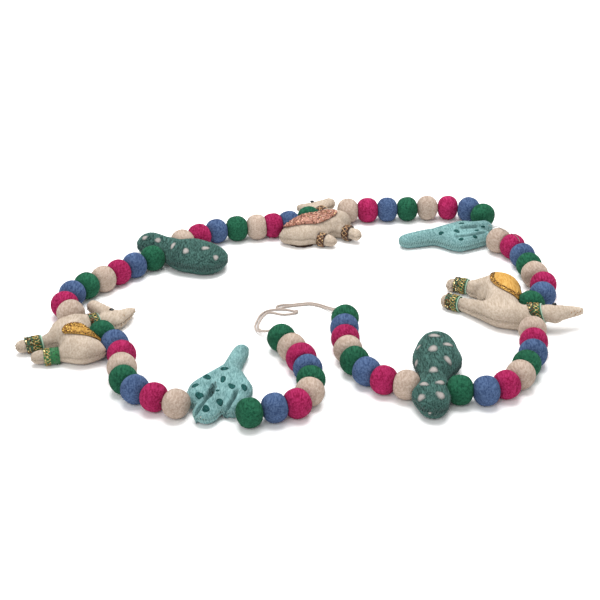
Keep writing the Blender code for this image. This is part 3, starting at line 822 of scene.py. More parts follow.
# Ribbons sewn round legs and necks: the start and the end of the limb's line, the ribbon's middle as
# a share of the way, its length, its inner and its outer radius, and how far it slants
Ribbon = namedtuple("Ribbon", "llama start end middle length inner outer slant kind")
RIBBONS = {
    "llama_1_front_cuff": Ribbon(
        "llama_1", (-221.5, -71.4, 7.4), (-240.8, -77.3, 7.0), 0.41, 15, 6.0, 7.0, 0.1, "gold"
    ),
    "llama_1_hind_cuff": Ribbon(
        "llama_1", (-203.5, -92.1, 7.4), (-224, -96.5, 7.0), 0.385, 13.3, 6.0, 7.0, 0.0, "green"
    ),
    "llama_1_collar": Ribbon(
        "llama_1", (-183, -41, 9), (-163, -33, 7.6), 0.1, 11, 7.4, 8.4, -0.3, "neck"
    ),
    "llama_2_front_cuff": Ribbon(
        "llama_2", (43.9, 143.2, 7.6), (55.4, 135.8, 9.0), 0.35, 8, 6.2, 7.3, 0.0, "brown"
    ),
    "llama_2_hind_cuff": Ribbon(
        "llama_2", (16.5, 130.4, 7.0), (31, 123.6, 6.6), 0.38, 8, 5.4, 6.4, 0.0, "brown"
    ),
    "llama_2_collar": Ribbon("llama_2", (23, 180, 9), (14, 192, 9), 0.1, 9, 7.4, 8.4, 0.0, "brown"),
    "llama_3_front_cuff": Ribbon(
        "llama_3", (146.3, -3.9, 7.4), (133.3, 4.1, 7.0), 0.46, 13, 6.0, 7.0, 0.15, "gold"
    ),
    "llama_3_hind_cuff": Ribbon(
        "llama_3", (156.7, 29.4, 7.4), (141.5, 36.1, 7.0), 0.42, 13, 6.0, 7.0, 0.0, "gold"
    ),
    "llama_3_collar": Ribbon(
        "llama_3", (208, -34, 16), (224, -37, 16.5), 0.1, 12.5, 7.4, 8.4, -0.35, "neck"
    ),
}
HOLD_REACH = 3.0


def limb_line(ribbon):
    """Middle of a ribbon and the unit direction of its limb."""
    start, end = np.array(ribbon.start, float), np.array(ribbon.end, float)
    return start + (end - start) * ribbon.middle, (end - start) / np.linalg.norm(end - start)


def held_by_ribbons(points, llama):
    """Points within a ribbon's length and near its line, drawn in to just under its inside."""
    for ribbon in RIBBONS.values():
        if ribbon.llama != llama:
            continue
        middle, along = limb_line(ribbon)
        offset = points - middle
        travel = offset @ along
        out = offset - travel[:, None] * along
        far = np.linalg.norm(out, axis=1)
        depth = far - ribbon.inner + CLEARANCE
        under = (np.abs(travel) < ribbon.length / 2 + CLEARANCE) & (depth > 0)
        under &= far < ribbon.inner + HOLD_REACH
        points[under] -= out[under] / far[under, None] * depth[under, None]
    return points


# %% [markdown]
# The two layers of a figure meet along a seam, which runs where the stuffed form is widest: low
# round a thin leg and higher round the belly. To find it, the figure is cut level at the height of a
# leg's middle, the cut's outline is walked round, and places are taken an equal step apart. Each
# then goes to the height at which the skin beside it stands upright.

# %% Find the seam
LEG_HEIGHT = 7.4
SEAM_STEP = 1.2
UPRIGHT = 0.15
STEEPEST = 0.45
SEAM_BLEND = 3.0


def outline_at(piece, height):
    """The longest closed line in which a level plane cuts a piece, in the table's millimetres."""
    shape = bmesh.new()
    shape.from_mesh(piece.data)
    everything = shape.verts[:] + shape.edges[:] + shape.faces[:]
    level = {"plane_co": (0, 0, height * MM), "plane_no": (0, 0, 1)}
    cut = bmesh.ops.bisect_plane(shape, geom=everything, dist=1e-7, **level)["geom_cut"]
    shape.verts.index_update()
    beside, place = {}, {}
    for edge in (item for item in cut if isinstance(item, bmesh.types.BMEdge)):
        for vert in edge.verts:
            beside.setdefault(vert.index, []).append(edge.other_vert(vert).index)
            place[vert.index] = tuple(vert.co)
    lines, left = [], set(beside)
    while left:
        at = min(left)
        line = []
        while at is not None:
            left.discard(at)
            line.append(place[at])
            at = next((other for other in sorted(beside[at]) if other in left), None)
        lines.append(line)
    longest = on_table(max(lines, key=len))
    shape.free()
    return longest


def even_places(line, spacing):
    """Places an equal step apart round a closed line, and the direction of the line at each."""
    closed = np.vstack([line, line[:1]])
    reach = travelled(closed)
    at = np.linspace(0, reach[-1], max(3, round(reach[-1] / spacing)), endpoint=False)
    places = np.column_stack([np.interp(at, reach, closed[:, axis]) for axis in range(3)])
    return places, unit(np.roll(places, -1, axis=0) - np.roll(places, 1, axis=0))


def seam_line(piece):
    """Places round a figure where its two layers meet. In plan they follow the level outline at a
    leg's middle. The height at each is a weighted mean of the heights of the skin: the weight is a
    bell curve of how far a point is in plan, times one of how nearly upright the skin is there."""
    places = even_places(outline_at(piece, LEG_HEIGHT), SEAM_STEP)[0]
    points, slope = on_table(read_points(piece.data)), read_points(piece.data, "normal")[:, 2]
    side = np.abs(slope) < STEEPEST
    points, slope = points[side], slope[side]
    away = places[:, None, :2] - points[None, :, :2]
    weight = np.exp(-(away**2).sum(axis=2) / SEAM_BLEND**2 - (slope / UPRIGHT) ** 2)
    places[:, 2] = (weight @ points[:, 2]) / np.maximum(weight.sum(axis=1), 1e-12)
    return places


# %% [markdown]
# Two kinds of crease go in last, as they are finer than the solver's faces. The seam's yarn pulls
# the felt in a little all round. Others part two limbs: the arms of the saguaros lie so close to
# the trunk that only a deep crease does it, and the third llama has a slight one between its legs.

# %% Creases
SEAM_DEPTH = 1.2
SEAM_HALF_WIDTH = 0.7
LOWEST_CREASE = 1.0
FACES_DOWN = -0.1

# Creases seen in the picture: how wide and how deep in millimetres, then points across and down
CREASES = {
    "saguaro_1": (
        (2.2, 20.0, ((211.8, 386.5), (210, 391), (207.5, 395))),
        (1.5, 13.0, ((213, 384), (211, 390), (206.5, 397), (201, 404), (196.5, 411))),
        (1.4, 13.0, ((236, 390), (233, 397), (228.5, 405), (225, 412))),
    ),
    "llama_3": ((0.8, 2.5, ((475, 296.5), (480, 297.8), (486, 299))),),
    "saguaro_2": (
        (1.1, 6.0, ((457, 236), (466, 235), (476, 233.4), (485, 231.5))),
        (1.1, 6.0, ((461.5, 227), (469, 226.4), (476, 226))),
    ),
}


def seen_on(tree, pictured):
    """Places and outward directions, in millimetres, where sight lines meet a piece's search tree."""
    hits = [tree.ray_cast(camera.location, sight_line(*point)) for point in pictured]
    found = [hit for hit in hits if hit[0] is not None]
    return on_table([hit[0] for hit in found]), np.array([hit[1] for hit in found])


def search_tree(piece):
    """A tree of a piece's triangles, in which sight lines are looked up."""
    points, triangles = mesh_arrays(piece.data)
    return BVHTree.FromPolygons(points.tolist(), triangles.tolist())


def line_distance(points, line):
    """Distance of each point, seen from above, from the nearest stretch of a line."""
    start, step = line[:-1, :2], np.diff(line[:, :2], axis=0)
    offset = points[:, None, :2] - start
    share = np.clip((offset * step).sum(axis=2) / (step**2).sum(axis=1), 0, 1)
    return np.linalg.norm(offset - share[..., None] * step, axis=2).min(axis=1)


def creased(points, normals, node, piece):
    """Points drawn in along the seam, by a bell curve of how far they are above or below it, and
    pressed down along each crease, by a bell curve of the distance from its line."""
    line = SEAM_LINES[node]
    nearest = np.linalg.norm(points[:, None, :2] - line[None, :, :2], axis=2).argmin(axis=1)
    rise = points[:, 2] - line[nearest, 2]
    seam = np.exp(-((rise / SEAM_HALF_WIDTH) ** 2))
    points = points - normals * (SEAM_DEPTH * seam * (1 - np.abs(normals[:, 2])))[:, None]
    for width, depth, pictured in CREASES.get(node, ()):
        line, outward = seen_on(search_tree(piece), pictured)
        fall = depth * np.exp(-((line_distance(points, line) / width) ** 2))
        room = np.maximum(points[:, 2] - LOWEST_CREASE, 0)
        points[:, 2] -= np.where(normals[:, 2] > FACES_DOWN, np.minimum(fall, room), 0)
    return points


# %% Put one figure together
SEAM_LINES = {}


def stuffed_figure(node, felt, slot):
    """A stuffed felt figure in place of its plain solid."""
    piece = blown_up(melted_skin(node, node + "_felt"), LET_OUT[kind_of(node)])
    points = on_table(read_points(piece.data))
    points = held_by_ribbons(clear_of_balls(points), node)
    points[:, 2] = np.maximum(points[:, 2], 0.0)
    set_place(piece, metres(points))
    rounder = piece.modifiers.new("rounder", "SUBSURF")
    rounder.levels = 1
    rounder.render_levels = 1
    apply_modifiers(piece)
    SEAM_LINES[node] = seam_line(piece)
    points = creased(on_table(read_points(piece.data)), read_points(piece.data, "normal"), node, piece)
    set_place(piece, metres(points))
    piece.data.polygons.foreach_set("use_smooth", np.ones(len(piece.data.polygons), bool))
    piece.data.materials.clear()
    piece.data.materials.append(felt)
    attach(piece, "root")
    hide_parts(node)
    print(piece.name, len(piece.data.polygons), "faces")
    return piece


# %% [markdown]
# The llamas are cut from undyed wool felt, which is creamier and less even than the dyed balls. The
# saguaros are pale teal felt, and the paddle cacti a darker teal whose fibres were dyed in
# two tones before they were felted, so their mottle is stronger.

# %% Make the seven figures
llama_felt = wool_felt("felt_undyed_wool", "AC9D8C", "8E7D6C", "C4B7A9", grain=1.1, contrast=0.9)
saguaro_felt = wool_felt(
    "felt_pale_teal_wool", "658B8C", "3F6263", "8CB0AF", grain=0.9, streak=1.1, contrast=1.2, sheen=0.25
)
paddle_felt = wool_felt(
    "felt_heathered_teal_wool",
    "1A3330",
    "071211",
    "52776F",
    grain=0.9,
    streak=1.2,
    contrast=1.15,
    sheen=0.8,
)
FIGURE_FELTS = {
    "llama_1": (llama_felt, "felt_white"),
    "llama_2": (llama_felt, "felt_white"),
    "llama_3": (llama_felt, "felt_white"),
    "saguaro_1": (saguaro_felt, "felt_teal"),
    "saguaro_2": (saguaro_felt, "felt_teal"),
    "paddle_cactus_1": (paddle_felt, "felt_dark_teal"),
    "paddle_cactus_2": (paddle_felt, "felt_dark_teal"),
}
FIGURES = {name: stuffed_figure(name, *felt_and_slot) for name, felt_and_slot in FIGURE_FELTS.items()}
TREES = {name: search_tree(piece) for name, piece in FIGURES.items()}

# %% [markdown]
# Stitches, sequins and stray fibres are all small things that sit on a skin. To put one there, its
# points are first laid roughly in place, and Shrinkwrap then moves them to the nearest place of
# the skin and out by a chosen lift. Doing that at two lifts also tells which way is outward.

# %% Lay places on a skin
def shrinkwrapped(places, skin, **settings):
    """Places, in millimetres, moved onto a piece by a Shrinkwrap modifier with the given settings."""
    mesh = bpy.data.meshes.new("laid_places")
    mesh.from_pydata(metres(places).reshape(-1, 3).tolist(), [], [])
    helper = new_object("laid_places", mesh)
    wrap = helper.modifiers.new("wrap", "SHRINKWRAP")
    wrap.target = skin
    for name, value in settings.items():
        setattr(wrap, name, value)
    laid = on_table(read_points(evaluated(helper)))
    bpy.data.objects.remove(helper)
    return laid.reshape(np.shape(places))


def on_skin(places, skin, lift):
    """Places moved to the nearest place of a piece and then out by a lift, in millimetres."""
    nearest = {"wrap_method": "NEAREST_SURFACEPOINT", "wrap_mode": "ABOVE_SURFACE"}
    return shrinkwrapped(places, skin, offset=lift * MM, **nearest)


def laid_with_outward(places, skin):
    """Places on a skin, and the outward direction at each."""
    low, high = on_skin(places, skin, 0.0), on_skin(places, skin, 1.0)
    return low, unit(high - low)


# %% [markdown]
# One mesh holds all the small things of a kind, so that the scene stays light. There are two
# formulas for them: a thread is a thin tube round a short line, and a copy is a small shape that is
# turned, sized and moved. Both give all of their points at once.

# %% Many small things in one mesh
def joined_mesh(name, blocks, faces):
    """One mesh of many shapes alike: shapes by points by three, and the faces of one of them."""
    count, size = blocks.shape[:2]
    first = size * np.arange(count)[:, None, None]
    spread = [(array[None] + first).reshape(-1, array.shape[1]) for array in faces]
    return mesh_of(name, metres(blocks.reshape(-1, 3)), spread)


def thread_mesh(name, lines, radii, sides):
    """Tubes round many lines, lines by steps by three: each ring stands square to its line, in
    directions in and out of the line's own bend. The radii of the rings are given, from the first
    step on, and the line's own ends close the tube: with one ring too few it ends in a long point."""
    heading = unit(np.gradient(lines, axis=1))
    bend = np.cross(heading[:, 0], heading[:, -1]) + 0.001 * np.cross(heading[:, 0], (0.3, 0.5, 0.8))
    side = unit(np.cross(heading, bend[:, None]))
    up = np.cross(side, heading)
    angle = full_turn(sides)[:, None]
    rows = len(radii)
    radii = np.asarray(radii, float)[:, None, None]
    rings = np.cos(angle) * side[:, :rows, None] + np.sin(angle) * up[:, :rows, None]
    rings = lines[:, :rows, None] + radii * rings
    rings = rings.reshape(len(lines), -1, 3)
    blocks = np.concatenate([lines[:, :1], rings, lines[:, -1:]], axis=1)
    return joined_mesh(name, blocks, ring_faces(rows, sides))


def copies_mesh(name, shape, faces, places, outward, sizes, random):
    """Copies of a small shape whose own up is turned to the outward direction at each place, with
    a random turn round it."""
    spin = random.normal(size=places.shape)
    first = unit(np.cross(outward, spin))
    second = np.cross(outward, first)
    turned = np.stack([first, second, outward], axis=1)
    blocks = places[:, None] + np.asarray(sizes)[:, None, None] * np.einsum("kj,njc->nkc", shape, turned)
    return joined_mesh(name, blocks, faces)


# %% [markdown]
# Whip stitches join the layers: the yarn goes over the edge again and again. From the side each
# stitch is a short bar across the seam, and the bars stand an equal step apart along it.

# %% Whip stitches
STITCH_STEPS = np.linspace(-1, 1, 6)
STITCH_SHAPE = np.array((0.45, 0.95, 1.0, 1.0, 0.95, 0.45))
STITCH_SIDES = 6
STITCH_LIFT = 0.6

yarn_cream = spun_cotton("cream_sewing_yarn", "C4B4A2", "857460")
yarn_pale_teal = spun_cotton("pale_teal_sewing_yarn", "90B6B3", "567C79")
yarn_dark_teal = spun_cotton("dark_teal_sewing_yarn", "3A5B56", "142826")

# Stitches: distance apart, half of their length, how far they lean, radius of the yarn, yarn. Its
# middle lies over the felt by a share of the radius, the stitch's lift
STITCHES = {
    "llama": (2.9, 1.9, 0.5, 0.38, yarn_cream),
    "saguaro": (2.3, 3.4, 0.3, 0.38, yarn_pale_teal),
    "paddle_cactus": (2.3, 3.4, 0.4, 0.36, yarn_dark_teal),
}


def whip_stitches(name, figure):
    """One mesh of the stitches round a figure: each line goes up and down from its place on the seam,
    plus a lean along it that varies, and is then laid on the skin."""
    spacing, half_length, lean, radius, yarn = STITCHES[kind_of(name)]
    places, along = even_places(SEAM_LINES[name], spacing)
    random = np.random.default_rng(len(name) + len(places))
    height = STITCH_STEPS * half_length * random.uniform(0.8, 1.1, (len(places), 1))
    leaning = lean * along[:, None] * random.uniform(0.4, 1.6, (len(places), 1, 1))
    lines = places[:, None] + height[..., None] * (np.array((0.0, 0.0, 1.0)) + leaning)
    lines = on_skin(lines, figure, radius * STITCH_LIFT)
    mesh = thread_mesh(name + "_stitches", lines, radius * STITCH_SHAPE, STITCH_SIDES)
    add_piece(mesh, yarn, FIGURE_FELTS[name][1])
    print(mesh.name, len(places), "stitches")


for name, figure in FIGURES.items():
    whip_stitches(name, figure)

# %% [markdown]
# The saguaros carry small patches of dark green felt, cut by hand and pressed on, so none is quite
# round. The paddle cacti carry dots of off-white yarn instead, needled in until their rims fade into
# the felt. Both are the same formula: a disc whose edge wavers, laid on the skin, crowned, and
# closed below.

# %% Patches and dots
SPOT_SHARES = (0.35, 0.7, 0.9, 1.0, 0.97, 0.6)
SPOT_LIFTS = (1.0, 0.9, 0.6, 0.12, -0.5, -0.5)
SPOT_SIDES = 18
SPOT_HEIGHT = 0.5
DOT_GRAIN_MM = 0.9
PICTURE_UP = (0.0, math.sin(CAMERA_LOOKS_DOWN), math.cos(CAMERA_LOOKS_DOWN))

spot_felt = wool_felt("felt_dark_green_patch", "184240", "0A2826", "2A5C5A", grain=0.9)


def felted_dot(name, yarn, shade, ground):
    """Yarn needled into felt: a mottle of two tones that gives way to the ground's tone towards the
    rim, unevenly, because there the needle has mixed the fibres of both. The mesh says how far
    out each point is, in an attribute."""
    material, tree, place = start_material(name)
    fibres = noise(tree, place, 1 / (DOT_GRAIN_MM * MM), detail=4.0)
    rim = add_node(tree, "ShaderNodeAttribute", {}, attribute_name="rim").outputs["Fac"]
    uneven = add_node(
        tree, "ShaderNodeMath", {0: fibres, 1: 0.9, 2: rim}, operation="MULTIPLY_ADD"
    ).outputs[0]
    mottle = mixed(tree, fibres, colour(shade), colour(yarn))
    finish_material(
        tree,
        {
            "Base Color": mixed(tree, new_range(tree, uneven, 0.85, 1.45), mottle, colour(ground)),
            "Normal": bumps_of(tree, fibres, 0.5, 0.25 * MM),
            "Roughness": 0.95,
            "Specular IOR Level": 0.12,
        },
    )
    return material


dot_yarn = felted_dot("needled_off_white_yarn", "AAA5A1", "857C79", "2E4A46")

# Spots seen in the picture: across, down, and half the width and height that they show there
SPOTS = {
    "saguaro_1": (
        (224.4, 368.6, 3.5, 1.9),
        (207, 376.8, 3.4, 2.4),
        (195, 385.4, 2.9, 2.2),
        (199.5, 395.5, 3.5, 3.1),
        (223, 379, 2.7, 3.2),
        (231.8, 386.4, 3.2, 2.5),
        (244.3, 387.2, 3.2, 2.9),
        (219.8, 402.1, 3.4, 3.2),
        (205.7, 408.4, 3.7, 3.0),
        (217.5, 390.5, 1.5, 1.0),
    ),
    "saguaro_2": (
        (441, 233, 2.9, 1.9),
        (456.8, 231.6, 2.9, 2.8),
        (461.2, 239.1, 2.8, 1.6),
        (475, 236.6, 2.5, 2.0),
        (476.8, 230.3, 2.5, 2.2),
        (461.5, 223.3, 2.9, 1.5),
        (483.0, 226.5, 2.4, 1.2),
    ),
    "paddle_cactus_1": (
        (144.8, 237.8, 3.6, 2.1),
        (158, 240.3, 3.6, 2.6),
        (173, 245.7, 2.4, 3.4),
        (185.8, 251, 3.4, 3.0),
        (205.3, 248.2, 3.7, 2.5),
        (215.7, 257.5, 3.0, 2.7),
    ),
    "paddle_cactus_2": (
        (434.3, 335.7, 5.6, 1.9),
        (433.1, 348.6, 3.7, 3.7),
        (447.9, 344.6, 4.6, 2.0),
        (418.6, 347.5, 2.0, 2.6),
        (447.9, 360, 3.5, 3.8),
        (416.4, 363.6, 2.6, 3.6),
        (433.5, 370, 4.2, 3.1),
        (424, 384, 4.6, 1.7),
        (440.5, 382.5, 5.2, 2.0),
        (421.2, 397.6, 4.0, 3.4),
        (440.6, 395.2, 3.9, 3.6),
        (430, 413, 1.9, 0.9),
    ),
}
# How much wider a spot is made for a rim that fades
SPOT_GROWTHS = {"saguaro": 1.0, "paddle_cactus": 1.18}
PICTURE_MM = 0.93
LEAST_SLANT = 0.62


def spot_mesh(name, figure, rows, growth):
    """Discs on a skin. Each ring is a share of the half width and the half height, which are
    stretched where the skin slants away from the camera, it wavers by two slow waves round it, and
    it stands off the skin by its lift times the height."""
    places, outward = seen_on(TREES[figure.name.removesuffix("_felt")], [row[:2] for row in rows])
    level = unit(np.cross(PICTURE_UP, outward))
    upward = np.cross(outward, level)
    slant = np.maximum(upward @ np.array(PICTURE_UP), LEAST_SLANT)
    sizes = np.array([row[2:] for row in rows]) * PICTURE_MM * growth
    sizes[:, 1] /= slant
    random = np.random.default_rng(len(rows))
    phase = random.uniform(0, 2 * math.pi, (2, len(rows), 1))
    angle = full_turn(SPOT_SIDES)[None, :]
    waver = 1 + 0.11 * np.cos(2 * angle + phase[0]) + 0.07 * np.cos(3 * angle + phase[1])
    rim = (sizes[:, :1] * waver * np.cos(angle))[..., None] * level[:, None]
    rim = rim + (sizes[:, 1:] * waver * np.sin(angle))[..., None] * upward[:, None]
    shares = np.array(SPOT_SHARES)[None, :, None, None]
    rings = places[:, None, None] + shares * rim[:, None]
    rings = rings.reshape(len(rows), -1, 3)
    blocks = np.concatenate([places[:, None], rings, places[:, None]], axis=1)
    laid, away = laid_with_outward(blocks, figure)
    lifts = np.concatenate([[SPOT_LIFTS[0]], np.repeat(SPOT_LIFTS, SPOT_SIDES), [SPOT_LIFTS[-1]]])
    laid = laid + away * (SPOT_HEIGHT * lifts)[None, :, None]
    mesh = joined_mesh(name, laid, ring_faces(len(SPOT_SHARES), SPOT_SIDES))
    rims = mesh.attributes.new("rim", "FLOAT", "POINT")
    share = np.concatenate([[0.0], np.repeat(SPOT_SHARES, SPOT_SIDES), [1.0]])
    rims.data.foreach_set("value", np.tile(share, len(rows)).astype(np.float32))
    return mesh


for name, rows in SPOTS.items():
    kind = kind_of(name)
    mesh = spot_mesh(name + "_spots", FIGURES[name], rows, SPOT_GROWTHS[kind])
    add_piece(mesh, spot_felt if kind == "saguaro" else dot_yarn, FIGURE_FELTS[name][1])
    print(mesh.name, len(rows), "spots")

# %% [markdown]
# Each llama wears a saddle blanket: one egg-shaped piece of thin felt, laid over its back. The cut is
# flat, so its shape is a formula in the plane, and it takes its form from the back it lies on: a
# fine grid of places drops straight onto the skin, and its lines are then spaced evenly along it. The
# sheet gets its thickness, with a rounded rim, and its edge waves a little, as cut felt does.

# %% Where a blanket lies
BLANKET_LIFT = 0.35
BLANKET_THICKNESS = 1.2
BLANKET_SIDES = 96
BLANKET_ROWS = 18
DROP_ROWS = 90
DROP_FROM = 40.0
EDGE_WAVE = 0.25

# Blankets: the middle, the heading in degrees, and the lowest height that the cloth reaches
Blanket = namedtuple("Blanket", "x y heading half_length half_width taper lowest")
BLANKETS = {
    "llama_1_blanket": Blanket(-186.3, -78.6, -19, 17.2, 6.9, 0.45, 8),
    "llama_2_blanket": Blanket(11.0, 145.8, 23, 27.5, 12.4, 0.18, 8),
    "llama_3_blanket": Blanket(191, 11, 103, 26.5, 15, 0.0, 8),
}


def dropped_on(places, skin):
    """Places moved straight down onto a piece. One that meets nothing stays where it is."""
    down = {"use_project_z": True, "use_negative_direction": True, "use_positive_direction": False}
    return shrinkwrapped(places, skin, wrap_method="PROJECT", **down)


def blanket_grid(name):
    """Rings of places on the back that a blanket covers, and the outward direction at each. Seen from
    above the cut is an oval: along it goes the half length times a cosine, across it the half width
    times a sine, and the width shrinks towards one end by the taper. In each direction the
    cloth follows the back outward until it has come down to its lowest height."""
    x, y, heading, half_length, half_width, taper, lowest = BLANKETS[name]
    skin = FIGURES[name.removesuffix("_blanket")]
    turn = math.radians(heading)
    angle = full_turn(BLANKET_SIDES)[None, :]
    share = np.linspace(0, 1, DROP_ROWS)[:, None]
    along = half_length * share * np.cos(angle)
    across = half_width * share * np.sin(angle) * (1 - taper * np.cos(angle))
    plan = np.stack(
        [
            x + along * math.cos(turn) - across * math.sin(turn),
            y + along * math.sin(turn) + across * math.cos(turn),
            DROP_FROM + 0 * along,
        ],
        axis=-1,
    )
    dropped = dropped_on(plan, skin)
    covers = (dropped[..., 2] < DROP_FROM - 1) & (dropped[..., 2] > lowest)
    reach = np.cumprod(covers, axis=0).sum(axis=0).astype(float)
    reach = np.minimum(reach, (np.roll(reach, 1) + reach + np.roll(reach, -1)) / 3)
    rings = np.empty((BLANKET_ROWS, BLANKET_SIDES, 3))
    for side in range(BLANKET_SIDES):
        line = dropped[: max(2, int(reach[side])), side]
        reached = travelled(line)
        at = np.linspace(0.05, 1.0, BLANKET_ROWS) * reached[-1]
        rings[:, side] = np.column_stack([np.interp(at, reached, line[:, axis]) for axis in range(3)])
    laid, outward = laid_with_outward(rings, skin)
    outward = unit(outward + np.roll(outward, 1, axis=1) + np.roll(outward, -1, axis=1))
    near_rim = np.linspace(0, 1, BLANKET_ROWS)[:, None] ** 4
    wave = EDGE_WAVE * near_rim * (1 + np.sin(5 * angle + half_length))
    return laid + outward * wave[..., None], outward


BLANKET_GRIDS = {name: blanket_grid(name) for name in BLANKETS}


def on_blanket(name, share, angle, lift):
    """Places on a blanket and their outward directions: share is how far out, from the middle to the
    rim, and angle is the direction. Both are mixed from the four nearest places of the grid."""
    grid = np.concatenate(BLANKET_GRIDS[name], axis=-1)
    row = np.clip(share, 0, 1) * (BLANKET_ROWS - 1)
    side = angle / (2 * math.pi) * BLANKET_SIDES
    low_row = np.minimum(row.astype(int), BLANKET_ROWS - 2)
    low_side = np.floor(side).astype(int)
    between_rows, between_sides = (row - low_row)[:, None], (side - low_side)[:, None]
    this_side, next_side = low_side % BLANKET_SIDES, (low_side + 1) % BLANKET_SIDES
    near, far = (
        (1 - between_sides) * grid[at, this_side] + between_sides * grid[at, next_side]
        for at in (low_row, low_row + 1)
    )
    blend = (1 - between_rows) * near + between_rows * far
    places, outward = blend[:, :3], unit(blend[:, 3:])
    return places + outward * lift, outward


def sheet_area(mesh):
    """Area of one side of a thin closed sheet, in square metres: half of all its triangles."""
    points, triangles = mesh_arrays(mesh)
    a, b, c = (points[triangles[:, k]] for k in range(3))
    return float(np.linalg.norm(np.cross(b - a, c - a), axis=1).sum() / 4)


# %% Cut the blankets
mustard_felt = wool_felt("felt_mustard_wool", "BD8F45", "9C6A28", "D6AF68", grain=0.8)
# Painted shade: the first llama's blanket is the mustard felt in darker tones, its shade painted into the
# colour
shaded_mustard_felt = wool_felt("felt_ochre_wool", "A67E3F", "835A20", "C29D55", grain=0.8)
coral_felt = wool_felt("felt_coral_wool", "96685A", "6E4037", "B98B7A", grain=0.8, contrast=1.3)
BLANKET_FELTS = {
    "llama_1_blanket": (shaded_mustard_felt, "blanket_mustard"),
    "llama_2_blanket": (coral_felt, "blanket_coral"),
    "llama_3_blanket": (mustard_felt, "blanket_mustard"),
}
BLANKET_PIECES = {}
for name, (felt, slot) in BLANKET_FELTS.items():
    laid, outward = BLANKET_GRIDS[name]
    high, low = BLANKET_LIFT + BLANKET_THICKNESS, BLANKET_LIFT
    edge = unit(laid[-1] - laid[-3])
    rim = laid[-1] + outward[-1] * (high + low) / 2 + edge * BLANKET_THICKNESS / 2
    rings = np.concatenate([laid + outward * high, rim[None], (laid + outward * low)[::-1]])
    rings = clear_of_balls(rings.reshape(-1, 3)).reshape(rings.shape)
    top, bottom = metres(rings[0].mean(axis=0)), metres(rings[-1].mean(axis=0))
    mesh = ringed_mesh(name + "_felt", metres(rings), top, bottom)
    BLANKET_PIECES[name] = add_piece(mesh, felt, slot, name)
    print(name, round(sheet_area(mesh) * 1e6), "square mm")

# %% [markdown]
# Sequins are tiny cups punched from metallised film and sewn on by the hundred. At this distance
# each is about a pixel, and what the eye reads is glitter: some catch the light and most are dark.
# Each is a cup of seven sides that leans its own way, and the film's tone changes along the ribbon.

# %% Sequin film, tulle and braid
FILM_PATCH_MM = 1.6
TULLE_MESH_MM = 1.2


def metal_film(name, bright, deep, roughness, metallic=1.0):
    """Metallised film: two tones that change over a millimetre or two, and a tight gloss."""
    material, tree, place = start_material(name)
    patches = noise(tree, place, 1 / (FILM_PATCH_MM * MM), detail=1.0)
    tone = mixed(tree, new_range(tree, patches, 0.4, 0.6), colour(deep), colour(bright))
    finish_material(tree, {"Base Color": tone, "Metallic": metallic, "Roughness": roughness})
    return material


def woven_tulle(name, base, hole):
    """Net of fine threads: the distance from the edges of a pattern of cells is small at the threads
    and large in the dark holes. A mesh of 0.4 mm would not show, so it is drawn at 1.2 mm."""
    material, tree, place = start_material(name)
    from_thread = add_node(
        tree,
        "ShaderNodeTexVoronoi",
        {"Vector": place, "Scale": 1 / (TULLE_MESH_MM * MM), "Randomness": 0.5},
        feature="DISTANCE_TO_EDGE",
    ).outputs["Distance"]
    holes = new_range(tree, from_thread, 0.05, 0.3)
    finish_material(
        tree,
        {
            "Base Color": mixed(tree, holes, colour(base), colour(hole)),
            "Normal": bumps_of(tree, holes, 0.6, -0.3 * MM),
            "Roughness": 0.6,
            "Sheen Weight": 0.2,
        },
    )
    return material


gold_film = metal_film("sequins_gold_film", "E2CB92", "553514", 0.28)
ochre_film = metal_film("sequins_ochre_film", "E2B45C", "5E3A14", 0.34)
green_film = metal_film("sequins_green_film", "2F8A52", "093A1C", 0.3, 0.5)
leaf_film = metal_film("sequins_leaf_green_film", "177A3A", "063A1A", 0.3, 0.5)
brown_film = metal_film("sequins_brown_film", "744420", "1E0E05", 0.35, 0.6)
clear_film = metal_film("sequins_pearl_film", "F2EEE2", "A89C84", 0.25, 0.7)
coral_satin = metal_film("petals_coral_satin", "C79580", "8A5644", 0.5, 0.1)
gold_braid = metal_film("braid_gold_thread", "D9C07E", "7A5826", 0.4, 0.9)
cream_braid = metal_film("braid_cream_thread", "DAB88C", "84562E", 0.5, 0.3)
green_tulle = woven_tulle("tulle_dark_green", "1B4E2C", "07190C")
leaf_tulle = woven_tulle("tulle_bright_green", "126A34", "07401C")
brown_tulle = woven_tulle("tulle_dark_brown", "3C1E0C", "120702")
mint_satin = spun_cotton("satin_mint_edge", "A3C4AF", "7FA98F")

# %% The shape of one sequin
SEQUIN_SIDES = 7
SEQUIN_ROWS = ((0.55, 0.10), (1.0, 0.26), (0.96, 0.14))
SEQUIN_ENDS = (0.04, -0.08)
SEQUIN_LEAN = 0.35


def sequin_shape():
    """A shallow cup: rings of a radius and a height, each in units of the sequin's own radius."""
    angle = full_turn(SEQUIN_SIDES)
    rings = [
        np.column_stack([radius * np.cos(angle), radius * np.sin(angle), np.full(SEQUIN_SIDES, height)])
        for radius, height in SEQUIN_ROWS
    ]
    inside, outside = ([(0, 0, height)] for height in SEQUIN_ENDS)
    return np.vstack([inside, *rings, outside])


SEQUIN = sequin_shape()
SEQUIN_FACES = ring_faces(len(SEQUIN_ROWS), SEQUIN_SIDES)


def sew_sequins(name, places, outward, radius, film, slot, seed):
    """Sequins at the places, each of nearly the given radius and leaning its own way."""
    random = np.random.default_rng(seed)
    leaning = unit(outward + SEQUIN_LEAN * random.normal(size=outward.shape))
    sizes = radius * random.uniform(0.85, 1.1, len(places))
    mesh = copies_mesh(name, SEQUIN, SEQUIN_FACES, places, leaning, sizes, random)
    piece = add_piece(mesh, film, slot)
    print(name, len(places), "sequins")
    return piece


# %% [markdown]
# The blankets are trimmed by hand. The mustard ones have rows of gold and brown sequins along the
# rim, and on the first llama they spill over most of the cloth. The coral one is covered with rows
# of petals cut from coral satin that overlap like scales, with gold and dark brown between them. The
# places come from the blanket's own grid, lifted onto its top.

